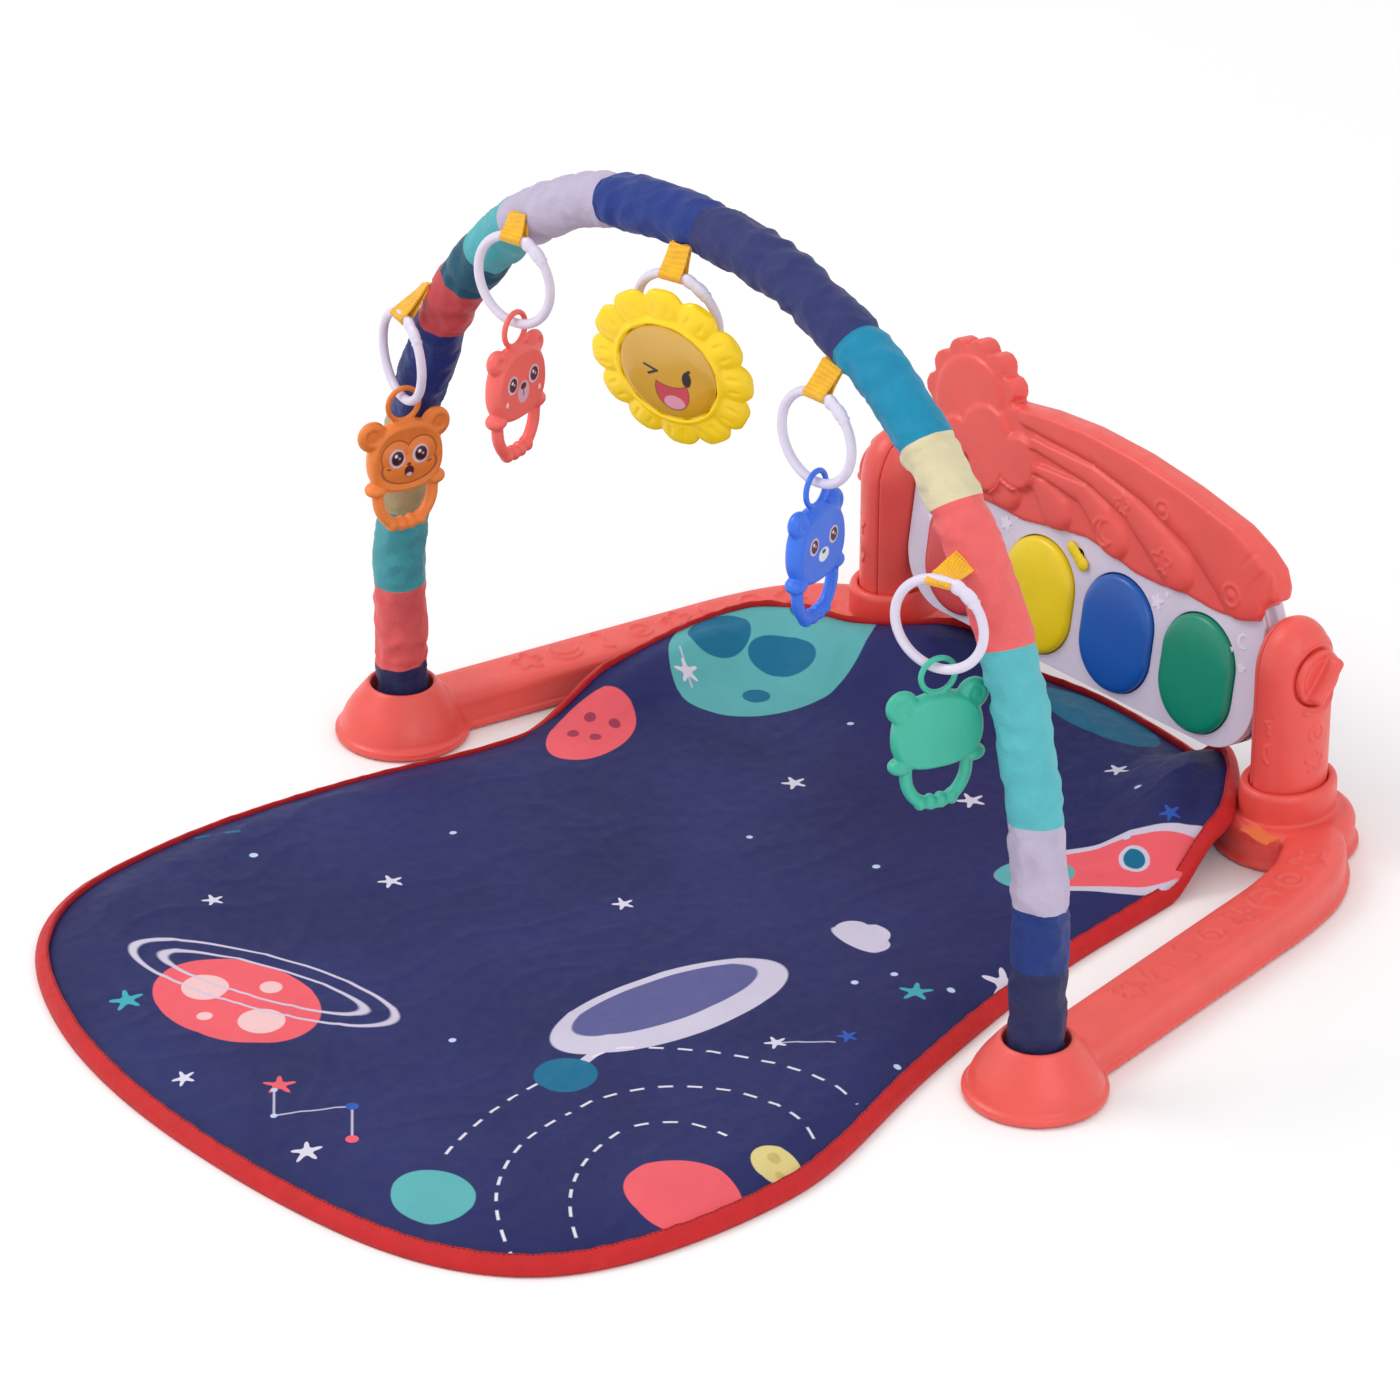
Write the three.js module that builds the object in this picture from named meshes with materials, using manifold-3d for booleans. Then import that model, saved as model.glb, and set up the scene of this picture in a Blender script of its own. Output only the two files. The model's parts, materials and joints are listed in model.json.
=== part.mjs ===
// Activity play gym: a padded mat inside two base rails, a soft-covered arch with hanging toys,
// and a tilting toy piano between two posts. Millimetres, +Z up, +Y towards the piano, +X to the
// right of a child lying with its feet at the piano. Every part is drawn with the arch in the
// plane y = 0, and the whole group is moved at the end so that its box is centred on the origin.
import * as THREE from 'three';
import { mergeVertices } from 'three/addons/utils/BufferGeometryUtils.js';
import Module from 'manifold-3d';

const wasm = await Module();
wasm.setup();

// ---------------------------------------------------------------- driving dimensions
const GAP = 0.35; // between touching pieces
const FINEST = 0.06; // smaller steps than this are smoothed over

const ARCH = {
  halfSpan: 270, // leg axis from the middle
  spring: 83, // height where the legs leave the vertical
  top: 416, // axis height at the apex
  roundness: 2.195, // superellipse exponent
  tubeRadius: 12.5,
  tubeBore: 10,
  foot: 6.5, // lowest point of the tubes
};
const SLEEVE = { outer: 16, inner: 13.4, foot: 17.5 };
const FERRULE = { radius: 8.7, length: 56 };

const RAIL = {
  halfWidth: 19,
  lip: 2.5, // flange beyond the side walls
  lipTop: 4,
  bottom: 1,
  top: 23,
  round: 5,
  wall: 3,
};
const DOME = { radius: 40, lipTop: 5, top: 34, mouth: 18.3, mouthFloor: 16, stem: 21.3 };
const POST = {
  x: 165,
  y: 300,
  halfX: 19.5,
  halfY: 24.5,
  foot: 14,
  pivot: 112, // height of the tilt axis
  pivotY: 301.5,
  top: 143,
  split: 150, // plane between the inner face and the outer shell
  wall: 2.6,
};
const COLLAR = { rim: 6, top: 42.5, padRadius: 42 };
const COVER = { bottom: 1, top: 3.4 };
const PAD = { radius: 11, height: 2, recess: 2.35 };
const SCREW = { head: 3.4, shank: 1.6 };

const PIANO = {
  lean: 7.8, // degrees away from the mat
  halfWidth: 144,
  bottom: -68, // below the tilt axis
  shelf: 28, // top of the housing above the tilt axis
  face: -7.1, // front of the white panel, measured from the tilt axis
  panel: 2.5,
  step: 13, // the housing is narrower behind this plane
  narrower: 22,
  back: 31,
  wall: 2.6,
  corner: 34,
};
const KEYS = {
  names: ['key_red', 'key_yellow', 'key_blue', 'key_green'],
  colours: [0xd74646, 0xebd000, 0x0b50a0, 0x008769],
  pitch: 65.6,
  radius: 27.6,
  halfHeight: 35.7,
  middle: -28.3,
  front: -10.3,
  back: -1.6,
  clearance: 0.8,
  flange: 2.4,
};
const SWITCH = { x: -5, z: 7, turn: 53, length: 20, radius: 4.4, front: -10.6, stem: 1, slot: 3.9 };
const PIN = { radius: 3, clearance: 0.45, inner: 128, outer: 175.5 };
const KNOB = { radius: 16.5, recess: 18, floor: 179, stem: 7, stemInner: 172.5, face: 184, ridge: 193.5 };
const CELL = { radius: 7, length: 49.5, pitch: 15, y: 21, z: -27 };

const RING = { radius: 25.8, bar: 2.7, hole: 3.9 };
const TAB = { width: 14, thickness: 2.4, loop: 5.8 };
const TOY = {
  headZ: -36, // middle of the head below the ring
  headHalfX: 24,
  headHalfZ: 23,
  handleZ: -54.5,
  handleHalfX: 21.5,
  handleHalfZ: 29.5,
  grip: 7.5, // width of the handle's bar
  thick: 12,
  handleThick: 9,
  loopHole: 8.2,
  loopOuter: 11.8,
  ear: 9,
};
const SUN = {
  radius: 50,
  petals: 12,
  petalRadius: 13,
  face: 32,
  front: -19.5,
  petalFront: -16,
  petalBack: -9.3,
  back: -4.8,
  drop: -1, // middle of the flower above the bottom of its ring
};

// One row per hanging toy: fold of its tab, where the tab meets the sleeve, turn of the ring and of
// the toy about the vertical and swing of both towards the piano (degrees), and the toy's colour.
const HANGERS = [
  {
    name: 'teether_monkey', colour: 0xee8434,
    fold: [-230, -26, 292], root: [-228, -8, 307], ring: -14, toy: 80,
  },
  {
    name: 'teether_bear', colour: 0xf46a60,
    fold: [-136, -21, 370], root: [-140, -12, 387], ring: 10, toy: 105,
  },
  {
    name: 'sunflower', colour: 0xffdc00,
    fold: [-3, -21, 393], root: [-5, -12, 411], ring: 15, toy: 18, swing: 12,
  },
  {
    name: 'teether_cub', colour: 0x3f7beb,
    fold: [112, -21, 364], root: [115, -9, 383], ring: 3, toy: 106,
  },
  {
    name: 'teether_frog', colour: 0x40bda0,
    fold: [219.5, -31.5, 299], root: [219, -10, 305], ring: 20, toy: -107,
  },
];

// Centre line of the right rail in plan, from the arch foot to the post.
const RAIL_LINE = [
  [270, 0],
  [262, 45],
  [248, 125],
  [238, 182],
  [229, 230],
  [217, 264],
  [195, 289],
  [165, 300],
];

// Edge of the mat in plan, anticlockwise from the middle of the piano end. Its left edge and its two
// piano-end corners lie up on the base.
const MAT_EDGE = [
  [-30, 337], [-75, 328], [-116, 311], [-134, 286], [-150, 263], [-178, 256], [-206, 246], [-219, 220],
  [-222, 180], [-216, 120], [-212, 70], [-217, 10], [-231, -45], [-241, -100], [-247, -160], [-246, -205],
  [-236, -268], [-208, -312], [-165, -341], [-105, -364], [-40, -376], [30, -379], [100, -375], [165, -363],
  [212, -341], [243, -308], [259, -262], [265, -208], [262, -150], [245, -97], [226, -45], [209, 12],
  [196, 62], [187, 112], [178, 168], [174, 208], [170, 240], [160, 262], [140, 285], [120, 307],
  [88, 325], [40, 334],
];
const MAT = { centre: [-8, -20], thick: 12, edge: 5, lift: 24.4 };

const BASE_BACK = POST.y + COLLAR.padRadius;
const MAT_FRONT = -379;

const COLOURS = {
  coral: 0xee5a52,
  white: 0xd9cfe0,
  navy: 0x2f3568,
  webbing: 0xf8b911,
  ring: 0xe8e2f0,
  rubber: 0x55525a,
  steel: 0xb9bcc2,
  board: 0x2c7a4b,
  dark: 0x2b2b30,
  strap: 0xf06a1c,
  ochre: 0xd9a43a,
  tube: 0xe6e6ea,
};

// ---------------------------------------------------------------- solids
// A closed geometry as a solid, with collapsed triangles dropped and its faces pointing out.
function solidOf(geometry) {
  const bare = geometry.index ? geometry.toNonIndexed() : geometry.clone();
  bare.deleteAttribute('normal');
  bare.deleteAttribute('uv');
  const merged = mergeVertices(bare, 1e-4);
  const kept = [];
  const index = merged.index.array;
  for (let i = 0; i < index.length; i += 3) {
    const [a, b, c] = [index[i], index[i + 1], index[i + 2]];
    if (a !== b && b !== c && c !== a) kept.push(a, b, c);
  }
  const build = (triangles) =>
    new wasm.Manifold(
      new wasm.Mesh({
        numProp: 3,
        vertProperties: merged.attributes.position.array,
        triVerts: new Uint32Array(triangles),
      }),
    );
  const made = build(kept);
  return made.volume() < 0 ? build(kept.reverse()) : made;
}

function geometryOf(solid) {
  const mesh = solid.asOriginal().simplify(FINEST).getMesh();
  const geometry = new THREE.BufferGeometry();
  geometry.setAttribute('position', new THREE.BufferAttribute(new Float32Array(mesh.vertProperties), 3));
  geometry.setIndex(new THREE.BufferAttribute(new Uint32Array(mesh.triVerts), 1));
  geometry.computeVertexNormals();
  return geometry;
}

const join = (...solids) => solids.reduce((whole, piece) => whole.add(piece));
const cut = (solid, ...tools) => tools.reduce((left, tool) => left.subtract(tool), solid);
const moved = (solid, x, y, z) => solid.translate([x, y, z]);

function box(x0, x1, y0, y1, z0, z1) {
  const geometry = new THREE.BoxGeometry(x1 - x0, y1 - y0, z1 - z0);
  return solidOf(geometry.translate((x0 + x1) / 2, (y0 + y1) / 2, (z0 + z1) / 2));
}

function cylinder(radius, from, to, axis = 'z', sides = 16) {
  const geometry = new THREE.CylinderGeometry(radius, radius, to - from, sides);
  geometry.translate(0, (from + to) / 2, 0);
  if (axis === 'z') geometry.rotateX(Math.PI / 2);
  if (axis === 'x') geometry.rotateZ(-Math.PI / 2);
  return solidOf(geometry);
}

// Turned solid about Z from [radius, height] pairs that start and end on the axis.
function turned(profile, sides = 32) {
  const points = profile.map(([r, z]) => new THREE.Vector2(r, z));
  return solidOf(new THREE.LatheGeometry(points, sides).rotateX(Math.PI / 2));
}

// Upright prism between two heights; round softens its top edge, and its bottom edge too if asked.
function prism(shape, from, to, { round = 0, bottom = false, segments = 8, steps = 1 } = {}) {
  if (!round) {
    const plain = new THREE.ExtrudeGeometry(shape, {
      depth: to - from,
      bevelEnabled: false,
      curveSegments: segments,
    });
    return solidOf(plain.translate(0, 0, from));
  }
  const base = bottom ? from : from - 2 * round;
  const geometry = new THREE.ExtrudeGeometry(shape, {
    depth: to - base - 2 * round,
    bevelThickness: round,
    bevelSize: round,
    bevelOffset: -round,
    bevelSegments: steps,
    curveSegments: segments,
  });
  const solid = solidOf(geometry.translate(0, 0, base + round));
  return bottom ? solid : cut(solid, box(-900, 900, -900, 900, base - 1, from));
}

// The same prism laid on its back: the shape stands in XZ and runs along Y from front to back.
function facing(shape, front, back, options = {}) {
  const solid = prism(shape, -back, -front, options);
  return solid.rotate([90, 0, 0]);
}

function ellipse(halfX, halfY, x = 0, y = 0) {
  const shape = new THREE.Shape();
  shape.absellipse(x, y, halfX, halfY, 0, Math.PI * 2, false, 0);
  return shape;
}

// Round-ended upright slot shape.
function pill(radius, halfHeight, x = 0, y = 0) {
  const straight = halfHeight - radius;
  const shape = new THREE.Shape();
  shape.absarc(x, y + straight, radius, 0, Math.PI, false);
  shape.absarc(x, y - straight, radius, Math.PI, Math.PI * 2, false);
  return shape;
}

function tube(curve, outer, inner, steps, arcs) {
  const section = ellipse(outer, outer);
  if (inner) section.holes.push(ellipse(inner, inner));
  return solidOf(
    new THREE.ExtrudeGeometry(section, {
      extrudePath: curve,
      steps,
      bevelEnabled: false,
      curveSegments: arcs,
    }),
  );
}

// ---------------------------------------------------------------- scene
const gym = new THREE.Group();

function add(name, solid, colour, { roughness = 0.45, metalness = 0, parent = gym } = {}) {
  const material = new THREE.MeshStandardMaterial({ color: colour, roughness, metalness });
  const mesh = new THREE.Mesh(geometryOf(solid), material);
  mesh.name = name;
  parent.add(mesh);
  return mesh;
}

// A right-hand piece and its mirror image.
function addPair(name, solid, colour, options) {
  add(`${name}_right`, solid, colour, options);
  add(`${name}_left`, solid, colour, options).scale.x = -1;
}

// ---------------------------------------------------------------- base
function railOutline(halfWidth) {
  const line = new THREE.CatmullRomCurve3(RAIL_LINE.map(([x, y]) => new THREE.Vector3(x, y, 0)));
  const outer = [];
  const inner = [];
  const count = 10;
  for (let i = 0; i <= count; i += 1) {
    const p = line.getPointAt(i / count);
    const t = line.getTangentAt(i / count);
    outer.push(new THREE.Vector2(p.x + t.y * halfWidth, p.y - t.x * halfWidth));
    inner.unshift(new THREE.Vector2(p.x - t.y * halfWidth, p.y + t.x * halfWidth));
  }
  return new THREE.Shape([...outer, ...inner]);
}

// Rail outline with its two round ends, as one upright solid.
function baseSlab(inset, from, to, options = {}) {
  return join(
    prism(railOutline(RAIL.halfWidth - inset), from, to, options),
    moved(
      cylinder(DOME.radius - RAIL.lip - inset, from, Math.min(to, RAIL.top - 12), 'z', 24),
      ARCH.halfSpan, 0, 0,
    ),
    moved(prism(ellipse(COLLAR.padRadius - RAIL.lip - inset, COLLAR.padRadius - RAIL.lip - inset),
      from, to, options), POST.x, POST.y, 0),
  );
}

function addBase() {
  const { bottom, top, round, wall, lip, lipTop } = RAIL;
  const atFoot = (solid) => moved(solid, ARCH.halfSpan, 0, 0);
  const atPost = (solid) => moved(solid, POST.x, POST.y, 0);

  const dome = turned([
    [0, bottom], [DOME.radius, bottom], [DOME.radius, DOME.lipTop], [37.4, DOME.lipTop + 1],
    [33.6, 16], [26.6, 25.5], [22, 32], [20.2, DOME.top], [0, DOME.top],
  ], 24);
  const domeHollow = cut(
    turned([[0, 0], [35, 0], [35, 5], [30, 14.5], [23.6, 23], [0, 23]], 24),
    cylinder(DOME.stem, -1, 30),
  );
  const collar = prism(
    ellipse(POST.halfX + COLLAR.rim, POST.halfY + COLLAR.rim), bottom, COLLAR.top,
    { round: 2.6, segments: 12 },
  );
  const flange = join(
    prism(railOutline(RAIL.halfWidth + lip), bottom, lipTop),
    atPost(cylinder(COLLAR.padRadius, bottom, lipTop, 'z', 24)),
  );
  const outside = join(
    baseSlab(0, bottom, top, { round, steps: 1 }), flange, atFoot(dome), atPost(collar),
  );

  const hollow = cut(
    baseSlab(wall, -1, top - wall),
    atFoot(cylinder(DOME.stem + 6, -2, 60)),
    atPost(prism(ellipse(POST.halfX + 3.2, POST.halfY + 3.2), -2, 60)),
  );
  const underside = baseSlab(wall, -1, COVER.top + 0.5);
  const legBore = atFoot(join(
    cylinder(DOME.mouth, DOME.mouthFloor, DOME.top + 9),
    cylinder(ARCH.tubeRadius + 0.4, ARCH.foot - 0.5, DOME.top),
  ));
  const postBore = atPost(
    prism(ellipse(POST.halfX + 0.4, POST.halfY + 0.4), POST.foot - 0.5, COLLAR.top + 9, { segments: 12 }),
  );
  addPair('rail', cut(outside, hollow, atFoot(domeHollow), underside, legBore, postBore), COLOURS.coral);

  const padSpots = [[ARCH.halfSpan, 0], [POST.x, POST.y]];
  const screwSpots = [[251, 108], [231, 222]];
  const plate = baseSlab(wall + GAP, COVER.bottom, COVER.top);
  const recesses = padSpots.map(([x, y]) => moved(cylinder(PAD.radius + GAP, 0, PAD.recess), x, y, 0));
  const screwHoles = screwSpots.map(([x, y]) =>
    moved(join(
      cylinder(SCREW.head + GAP, 0, 2.4, 'z', 16),
      cylinder(SCREW.shank + GAP, 0, 9, 'z', 12),
    ), x, y, 0));
  addPair('rail_cover', cut(plate, ...recesses, ...screwHoles), COLOURS.coral);

  padSpots.forEach(([x, y], i) => {
    const pad = moved(cylinder(PAD.radius, 0, PAD.height, 'z', 24), x, y, 0);
    addPair(['front_pad', 'rear_pad'][i], pad, COLOURS.rubber, { roughness: 0.9 });
  });
  const [x, y] = screwSpots[0];
  const screw = join(
    cylinder(SCREW.head, COVER.bottom + 0.2, 2.1, 'z', 16),
    cylinder(SCREW.shank, 2, 8.5, 'z', 12),
  );
  addPair('cover_screw', moved(screw, x, y, 0), COLOURS.steel, { roughness: 0.35, metalness: 0.9 });
}

// ---------------------------------------------------------------- posts
// Elliptical column with a domed top, shrunk all round by inset.
function column(inset, foot) {
  const profile = [[0, foot], [1, foot], [1, POST.pivot]];
  for (let i = 1; i <= 4; i += 1) {
    const angle = (i / 4) * (Math.PI / 2);
    profile.push([Math.cos(angle), POST.pivot + (POST.top - inset - POST.pivot) * Math.sin(angle)]);
  }
  profile[profile.length - 1][0] = 0;
  const scaled = turned(profile, 24).scale([POST.halfX - inset, POST.halfY - inset, 1]);
  return moved(scaled, POST.x, POST.y, 0);
}

function addPosts() {
  const atPivot = (solid) => moved(solid, 0, POST.pivotY, POST.pivot);
  const solidPost = column(0, POST.foot);
  const hollow = column(POST.wall, POST.foot - 2);
  const knobRecess = atPivot(join(
    cylinder(KNOB.recess, KNOB.floor, 200, 'x', 24),
    cylinder(KNOB.stem + 0.45, 160, 200, 'x', 16),
  ));
  const knobWall = atPivot(cylinder(KNOB.recess + 2, KNOB.floor - 2.6, 183, 'x', 24)).intersect(solidPost);
  const outerHalf = box(POST.split + GAP, 200, 250, 350, 0, 200);
  const innerHalf = box(130, POST.split, 250, 350, 0, 200);
  const shell = cut(join(cut(solidPost, hollow), knobWall), knobRecess).intersect(outerHalf);
  addPair('post_shell', shell, COLOURS.coral);

  const bushing = atPivot(cylinder(9, 146, 158, 'x', 16)).intersect(solidPost);
  const pinBore = atPivot(cylinder(PIN.radius + PIN.clearance, 120, 200, 'x', 16));
  const face = cut(solidPost.intersect(innerHalf), pinBore);
  addPair('post_face', join(face, cut(bushing, pinBore).intersect(box(149, 158, 250, 350, 0, 200))),
    COLOURS.coral);

  const knob = atPivot(cut(
    join(
      cylinder(KNOB.radius, KNOB.floor + 0.4, KNOB.face, 'x', 24),
      cylinder(KNOB.stem, KNOB.stemInner, KNOB.floor + 1, 'x', 16),
      prism(pill(3.2, 15.5), KNOB.face - 1, KNOB.ridge, { round: 2.4, segments: 3 })
        .rotate([0, 90, 0]).rotate([52, 0, 0]),
    ),
    cylinder(PIN.radius + PIN.clearance, 160, PIN.outer + 1.5, 'x', 16),
  ));
  addPair('tilt_knob', knob, COLOURS.coral);

  const pin = atPivot(cylinder(PIN.radius, PIN.inner, PIN.outer, 'x', 16));
  addPair('pivot_pin', pin, COLOURS.steel, { roughness: 0.3, metalness: 0.9 });
}

// ---------------------------------------------------------------- piano
// Its group turns about the tilt axis; inside it X is right, Z is up the face and -Y is the front.
function pianoOutline(inset, narrower = 0) {
  const { halfWidth, bottom, shelf, corner } = PIANO;
  const right = halfWidth - inset - narrower;
  const low = bottom + inset;
  const high = shelf - inset;
  const shape = new THREE.Shape();
  shape.moveTo(-right, high);
  shape.lineTo(-right, low + corner);
  shape.absarc(-right + corner, low + corner, corner, Math.PI, 1.5 * Math.PI, false);
  shape.absarc(right - corner, low + corner, corner, 1.5 * Math.PI, 2 * Math.PI, false);
  shape.lineTo(right, high);
  return shape;
}

const keyPlaces = KEYS.names.map((_, i) => (i - 1.5) * KEYS.pitch);

function switchShape(grow) {
  const radians = (SWITCH.turn * Math.PI) / 180;
  const straight = SWITCH.length / 2 - SWITCH.radius;
  const points = [];
  const radius = SWITCH.radius + grow;
  for (let i = 0; i < 12; i += 1) {
    const angle = ((i + 0.5) / 12) * Math.PI * 2;
    const x = radius * Math.cos(angle);
    const z = radius * Math.sin(angle) + (Math.sin(angle) > 0 ? straight : -straight);
    points.push(new THREE.Vector2(
      SWITCH.x + x * Math.cos(radians) - z * Math.sin(radians),
      SWITCH.z + x * Math.sin(radians) + z * Math.cos(radians),
    ));
  }
  return new THREE.Shape(points);
}

// Front outline of the moulded top; shrink pulls it in towards its middle for the hollow.
function coverOutline(shrink = 0) {
  const points = [
    [-141, 14], [-120, 11], [-78, 12], [-52, 11], [-22, 16], [0, 19], [21, 16], [41, 12], [62, 12],
    [83, 14], [104, 12.5], [125, 14], [141, 19], [143.5, 24], [143.5, 30.5], [150, 35], [150, 42],
    [145, 52], [133, 60], [114.6, 68], [73, 76.5], [31.5, 82], [-10, 84], [-45, 82], [-72, 78],
    [-100, 66], [-132, 62], [-141, 48],
  ];
  const middle = 46;
  return new THREE.Shape(points.map(([x, z]) =>
    new THREE.Vector2(x * (1 - shrink / 145), middle + (z - middle) * (1 - shrink / 34))));
}

const SUNRISE = { x: -106, z: 68, radius: 30, scallops: 12, scallop: 8.6 };

function addPiano() {
  const piano = new THREE.Group();
  piano.position.set(0, POST.pivotY, POST.pivot);
  piano.rotation.x = (-PIANO.lean * Math.PI) / 180;
  gym.add(piano);
  const inside = { parent: piano };
  const { face, panel, step, narrower, back, wall, halfWidth, bottom, shelf } = PIANO;
  const panelBack = face + panel;

  const openings = keyPlaces.map((x) =>
    facing(pill(KEYS.radius + KEYS.clearance, KEYS.halfHeight + KEYS.clearance, x, KEYS.middle), -20, 20,
      { segments: 7 }));
  const switchSlot = facing(ellipse(SWITCH.slot, SWITCH.slot, SWITCH.x, SWITCH.z), -20, 20, { segments: 6 });
  const front = facing(pianoOutline(0), face, panelBack, { segments: 5 });
  add('piano_panel', cut(front, ...openings, switchSlot), COLOURS.white, inside);

  // rear housing with its battery tray
  const open = panelBack + GAP;
  const behind = cut(
    join(
      facing(pianoOutline(0), open, step, { round: 3, segments: 4, bottom: true }),
      facing(pianoOutline(0, narrower), open, back, { round: 5, segments: 4, bottom: true }),
    ),
    facing(pianoOutline(-1), open - 20, open + 5, { segments: 4 }),
  );
  const rimWall = facing(pianoOutline(0), open, open + 8, { segments: 4 });
  const room = join(
    facing(pianoOutline(wall), open - 1, step - wall, { segments: 4 }),
    facing(pianoOutline(wall, narrower), open - 1, back - wall, { segments: 4 }),
  );
  const trayOuter = box(-32, 32, 11.5, back - 1, CELL.z - 30, CELL.z + 30);
  const trayRoom = box(-28, 28, 13.5, back + 5, CELL.z - 23.5, CELL.z + 23.5);
  const doorSeat = box(-34, 34, back - 2.6, back + 5, CELL.z - 32, CELL.z + 32);
  const doorFrame = box(-37, 37, back - 6, back - 0.2, CELL.z - 35, CELL.z + 35);
  const bossBore = cylinder(PIN.radius + GAP, -200, 200, 'x', 16);
  const housing = cut(
    join(
      cut(join(behind, rimWall), room), trayOuter, doorFrame,
      box(halfWidth - 17, halfWidth - 1, open, 10, -9, 9),
      box(1 - halfWidth, 17 - halfWidth, open, 10, -9, 9),
    ),
    trayRoom, doorSeat, bossBore,
    cylinder(SCREW.shank + GAP, back - 9, back, 'y', 12).translate([0, 0, CELL.z + 26.8]),
  );
  add('piano_housing', housing, COLOURS.white, inside);

  const door = cut(
    box(-33.6, 33.6, back - 2.2, back, CELL.z - 31.6, CELL.z + 31.6),
    cylinder(SCREW.head + GAP, 0, 5, 'y', 16).translate([0, back - 1.2, CELL.z + 26.8]),
    cylinder(SCREW.shank + GAP, -9, 9, 'y', 12).translate([0, back, CELL.z + 26.8]),
  );
  add('battery_door', door, COLOURS.white, inside);
  const doorScrew = join(
    cylinder(SCREW.head, back - 0.8, back - 0.1, 'y', 16),
    cylinder(SCREW.shank, back - 5, back - 0.7, 'y', 12),
  );
  add('battery_screw', moved(doorScrew, 0, 0, CELL.z + 26.8), COLOURS.steel, { ...inside, metalness: 0.9 });
  [-1, 0, 1].forEach((place, i) => {
    const cell = join(
      cylinder(CELL.radius, -CELL.length / 2, CELL.length / 2 - 1, 'x', 16),
      cylinder(2.6, CELL.length / 2 - 1.5, CELL.length / 2, 'x', 12),
    );
    add(`battery_${i + 1}`, moved(cell, 0, CELL.y, CELL.z + place * CELL.pitch), COLOURS.dark, inside);
  });

  add('circuit_board', box(-118, 118, 8, 9.6, -56, -2), COLOURS.board, inside);
  const speaker = join(cylinder(20, 20, 23, 'y', 28), cylinder(15, 12, 20.5, 'y', 24));
  add('speaker', moved(speaker, -88, 0, -25), COLOURS.dark, { ...inside, metalness: 0.3 });

  // moulded top: sun, cloud and the band sweeping down from them
  const rays = Array.from({ length: SUNRISE.scallops }, (_, i) => {
    const angle = (i / SUNRISE.scallops) * Math.PI * 2;
    return facing(ellipse(SUNRISE.scallop, SUNRISE.scallop,
      SUNRISE.x + SUNRISE.radius * Math.cos(angle), SUNRISE.z + SUNRISE.radius * Math.sin(angle)),
    -9, 4, { segments: 5 });
  });
  const sun = facing(ellipse(SUNRISE.radius, SUNRISE.radius, SUNRISE.x, SUNRISE.z), -11, 4,
    { round: 3, segments: 10, bottom: true });
  const cloud = [[-88, 52, 22], [-112, 44, 15], [-60, 46, 18], [-84, 34, 16]].map(([x, z, r]) =>
    facing(ellipse(r, r, x, z), -13, 0, { round: 3, segments: 6, bottom: true }));
  const plate = facing(coverOutline(), -9.5, 6, { round: 3, bottom: true, steps: 2 });
  const pocket = join(
    box(-halfWidth - 9, halfWidth + 9, face - GAP, 40, -20, shelf + GAP),
    facing(coverOutline(3.5), face - GAP, 3).intersect(box(-200, 200, -20, 20, shelf - 6, 100)),
  );
  add('piano_cover', cut(join(plate, sun, ...rays, ...cloud), pocket), COLOURS.coral, inside);

  keyPlaces.forEach((x, i) => {
    const key = cut(
      join(
        facing(pill(KEYS.radius, KEYS.halfHeight, x, KEYS.middle), KEYS.front, KEYS.back,
          { round: 3, segments: 7 }),
        facing(pill(KEYS.radius + KEYS.flange, KEYS.halfHeight + KEYS.flange, x, KEYS.middle),
          panelBack + GAP, KEYS.back, { segments: 7 }),
      ),
      facing(pill(KEYS.radius - 2.4, KEYS.halfHeight - 2.4, x, KEYS.middle), KEYS.front + 3, 9,
        { segments: 5 }),
      box(-400, 400, -20, 20, bottom - 20, bottom + wall + GAP),
    );
    add(KEYS.names[i], key, KEYS.colours[i], { ...inside, roughness: 0.35 });
  });

  const cap = join(
    facing(switchShape(0), SWITCH.front, face - GAP, { round: 1.4 }),
    facing(ellipse(SWITCH.stem, SWITCH.stem, SWITCH.x, SWITCH.z), SWITCH.front + 2, 4, { segments: 5 }),
  );
  add('volume_switch', cap, 0xe8b800, { ...inside, roughness: 0.35 });
}

// ---------------------------------------------------------------- arch
// Axis of the arch from the left foot to the right foot: straight legs, then a superellipse.
function archAxis() {
  const points = [new THREE.Vector3(-ARCH.halfSpan, 0, 0), new THREE.Vector3(-ARCH.halfSpan, 0, 45)];
  const count = 40;
  const power = 2 / ARCH.roundness;
  for (let i = 0; i <= count; i += 1) {
    const angle = (i / count) * Math.PI;
    const c = Math.cos(angle);
    const s = Math.max(Math.sin(angle), 0);
    points.push(new THREE.Vector3(
      -ARCH.halfSpan * Math.sign(c) * Math.abs(c) ** power, 0,
      ARCH.spring + (ARCH.top - ARCH.spring) * s ** power,
    ));
  }
  points.push(new THREE.Vector3(ARCH.halfSpan, 0, 45), new THREE.Vector3(ARCH.halfSpan, 0, 0));
  return new THREE.CatmullRomCurve3(points, false, 'centripetal');
}
const axis = archAxis();
const axisLength = axis.getLength();

// Piece of the arch axis between two distances from the left foot.
function stretch(from, to, count = 24) {
  const points = [];
  for (let i = 0; i <= count; i += 1) {
    points.push(axis.getPointAt((from + ((to - from) * i) / count) / axisLength));
  }
  return new THREE.CatmullRomCurve3(points, false, 'centripetal');
}

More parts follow.
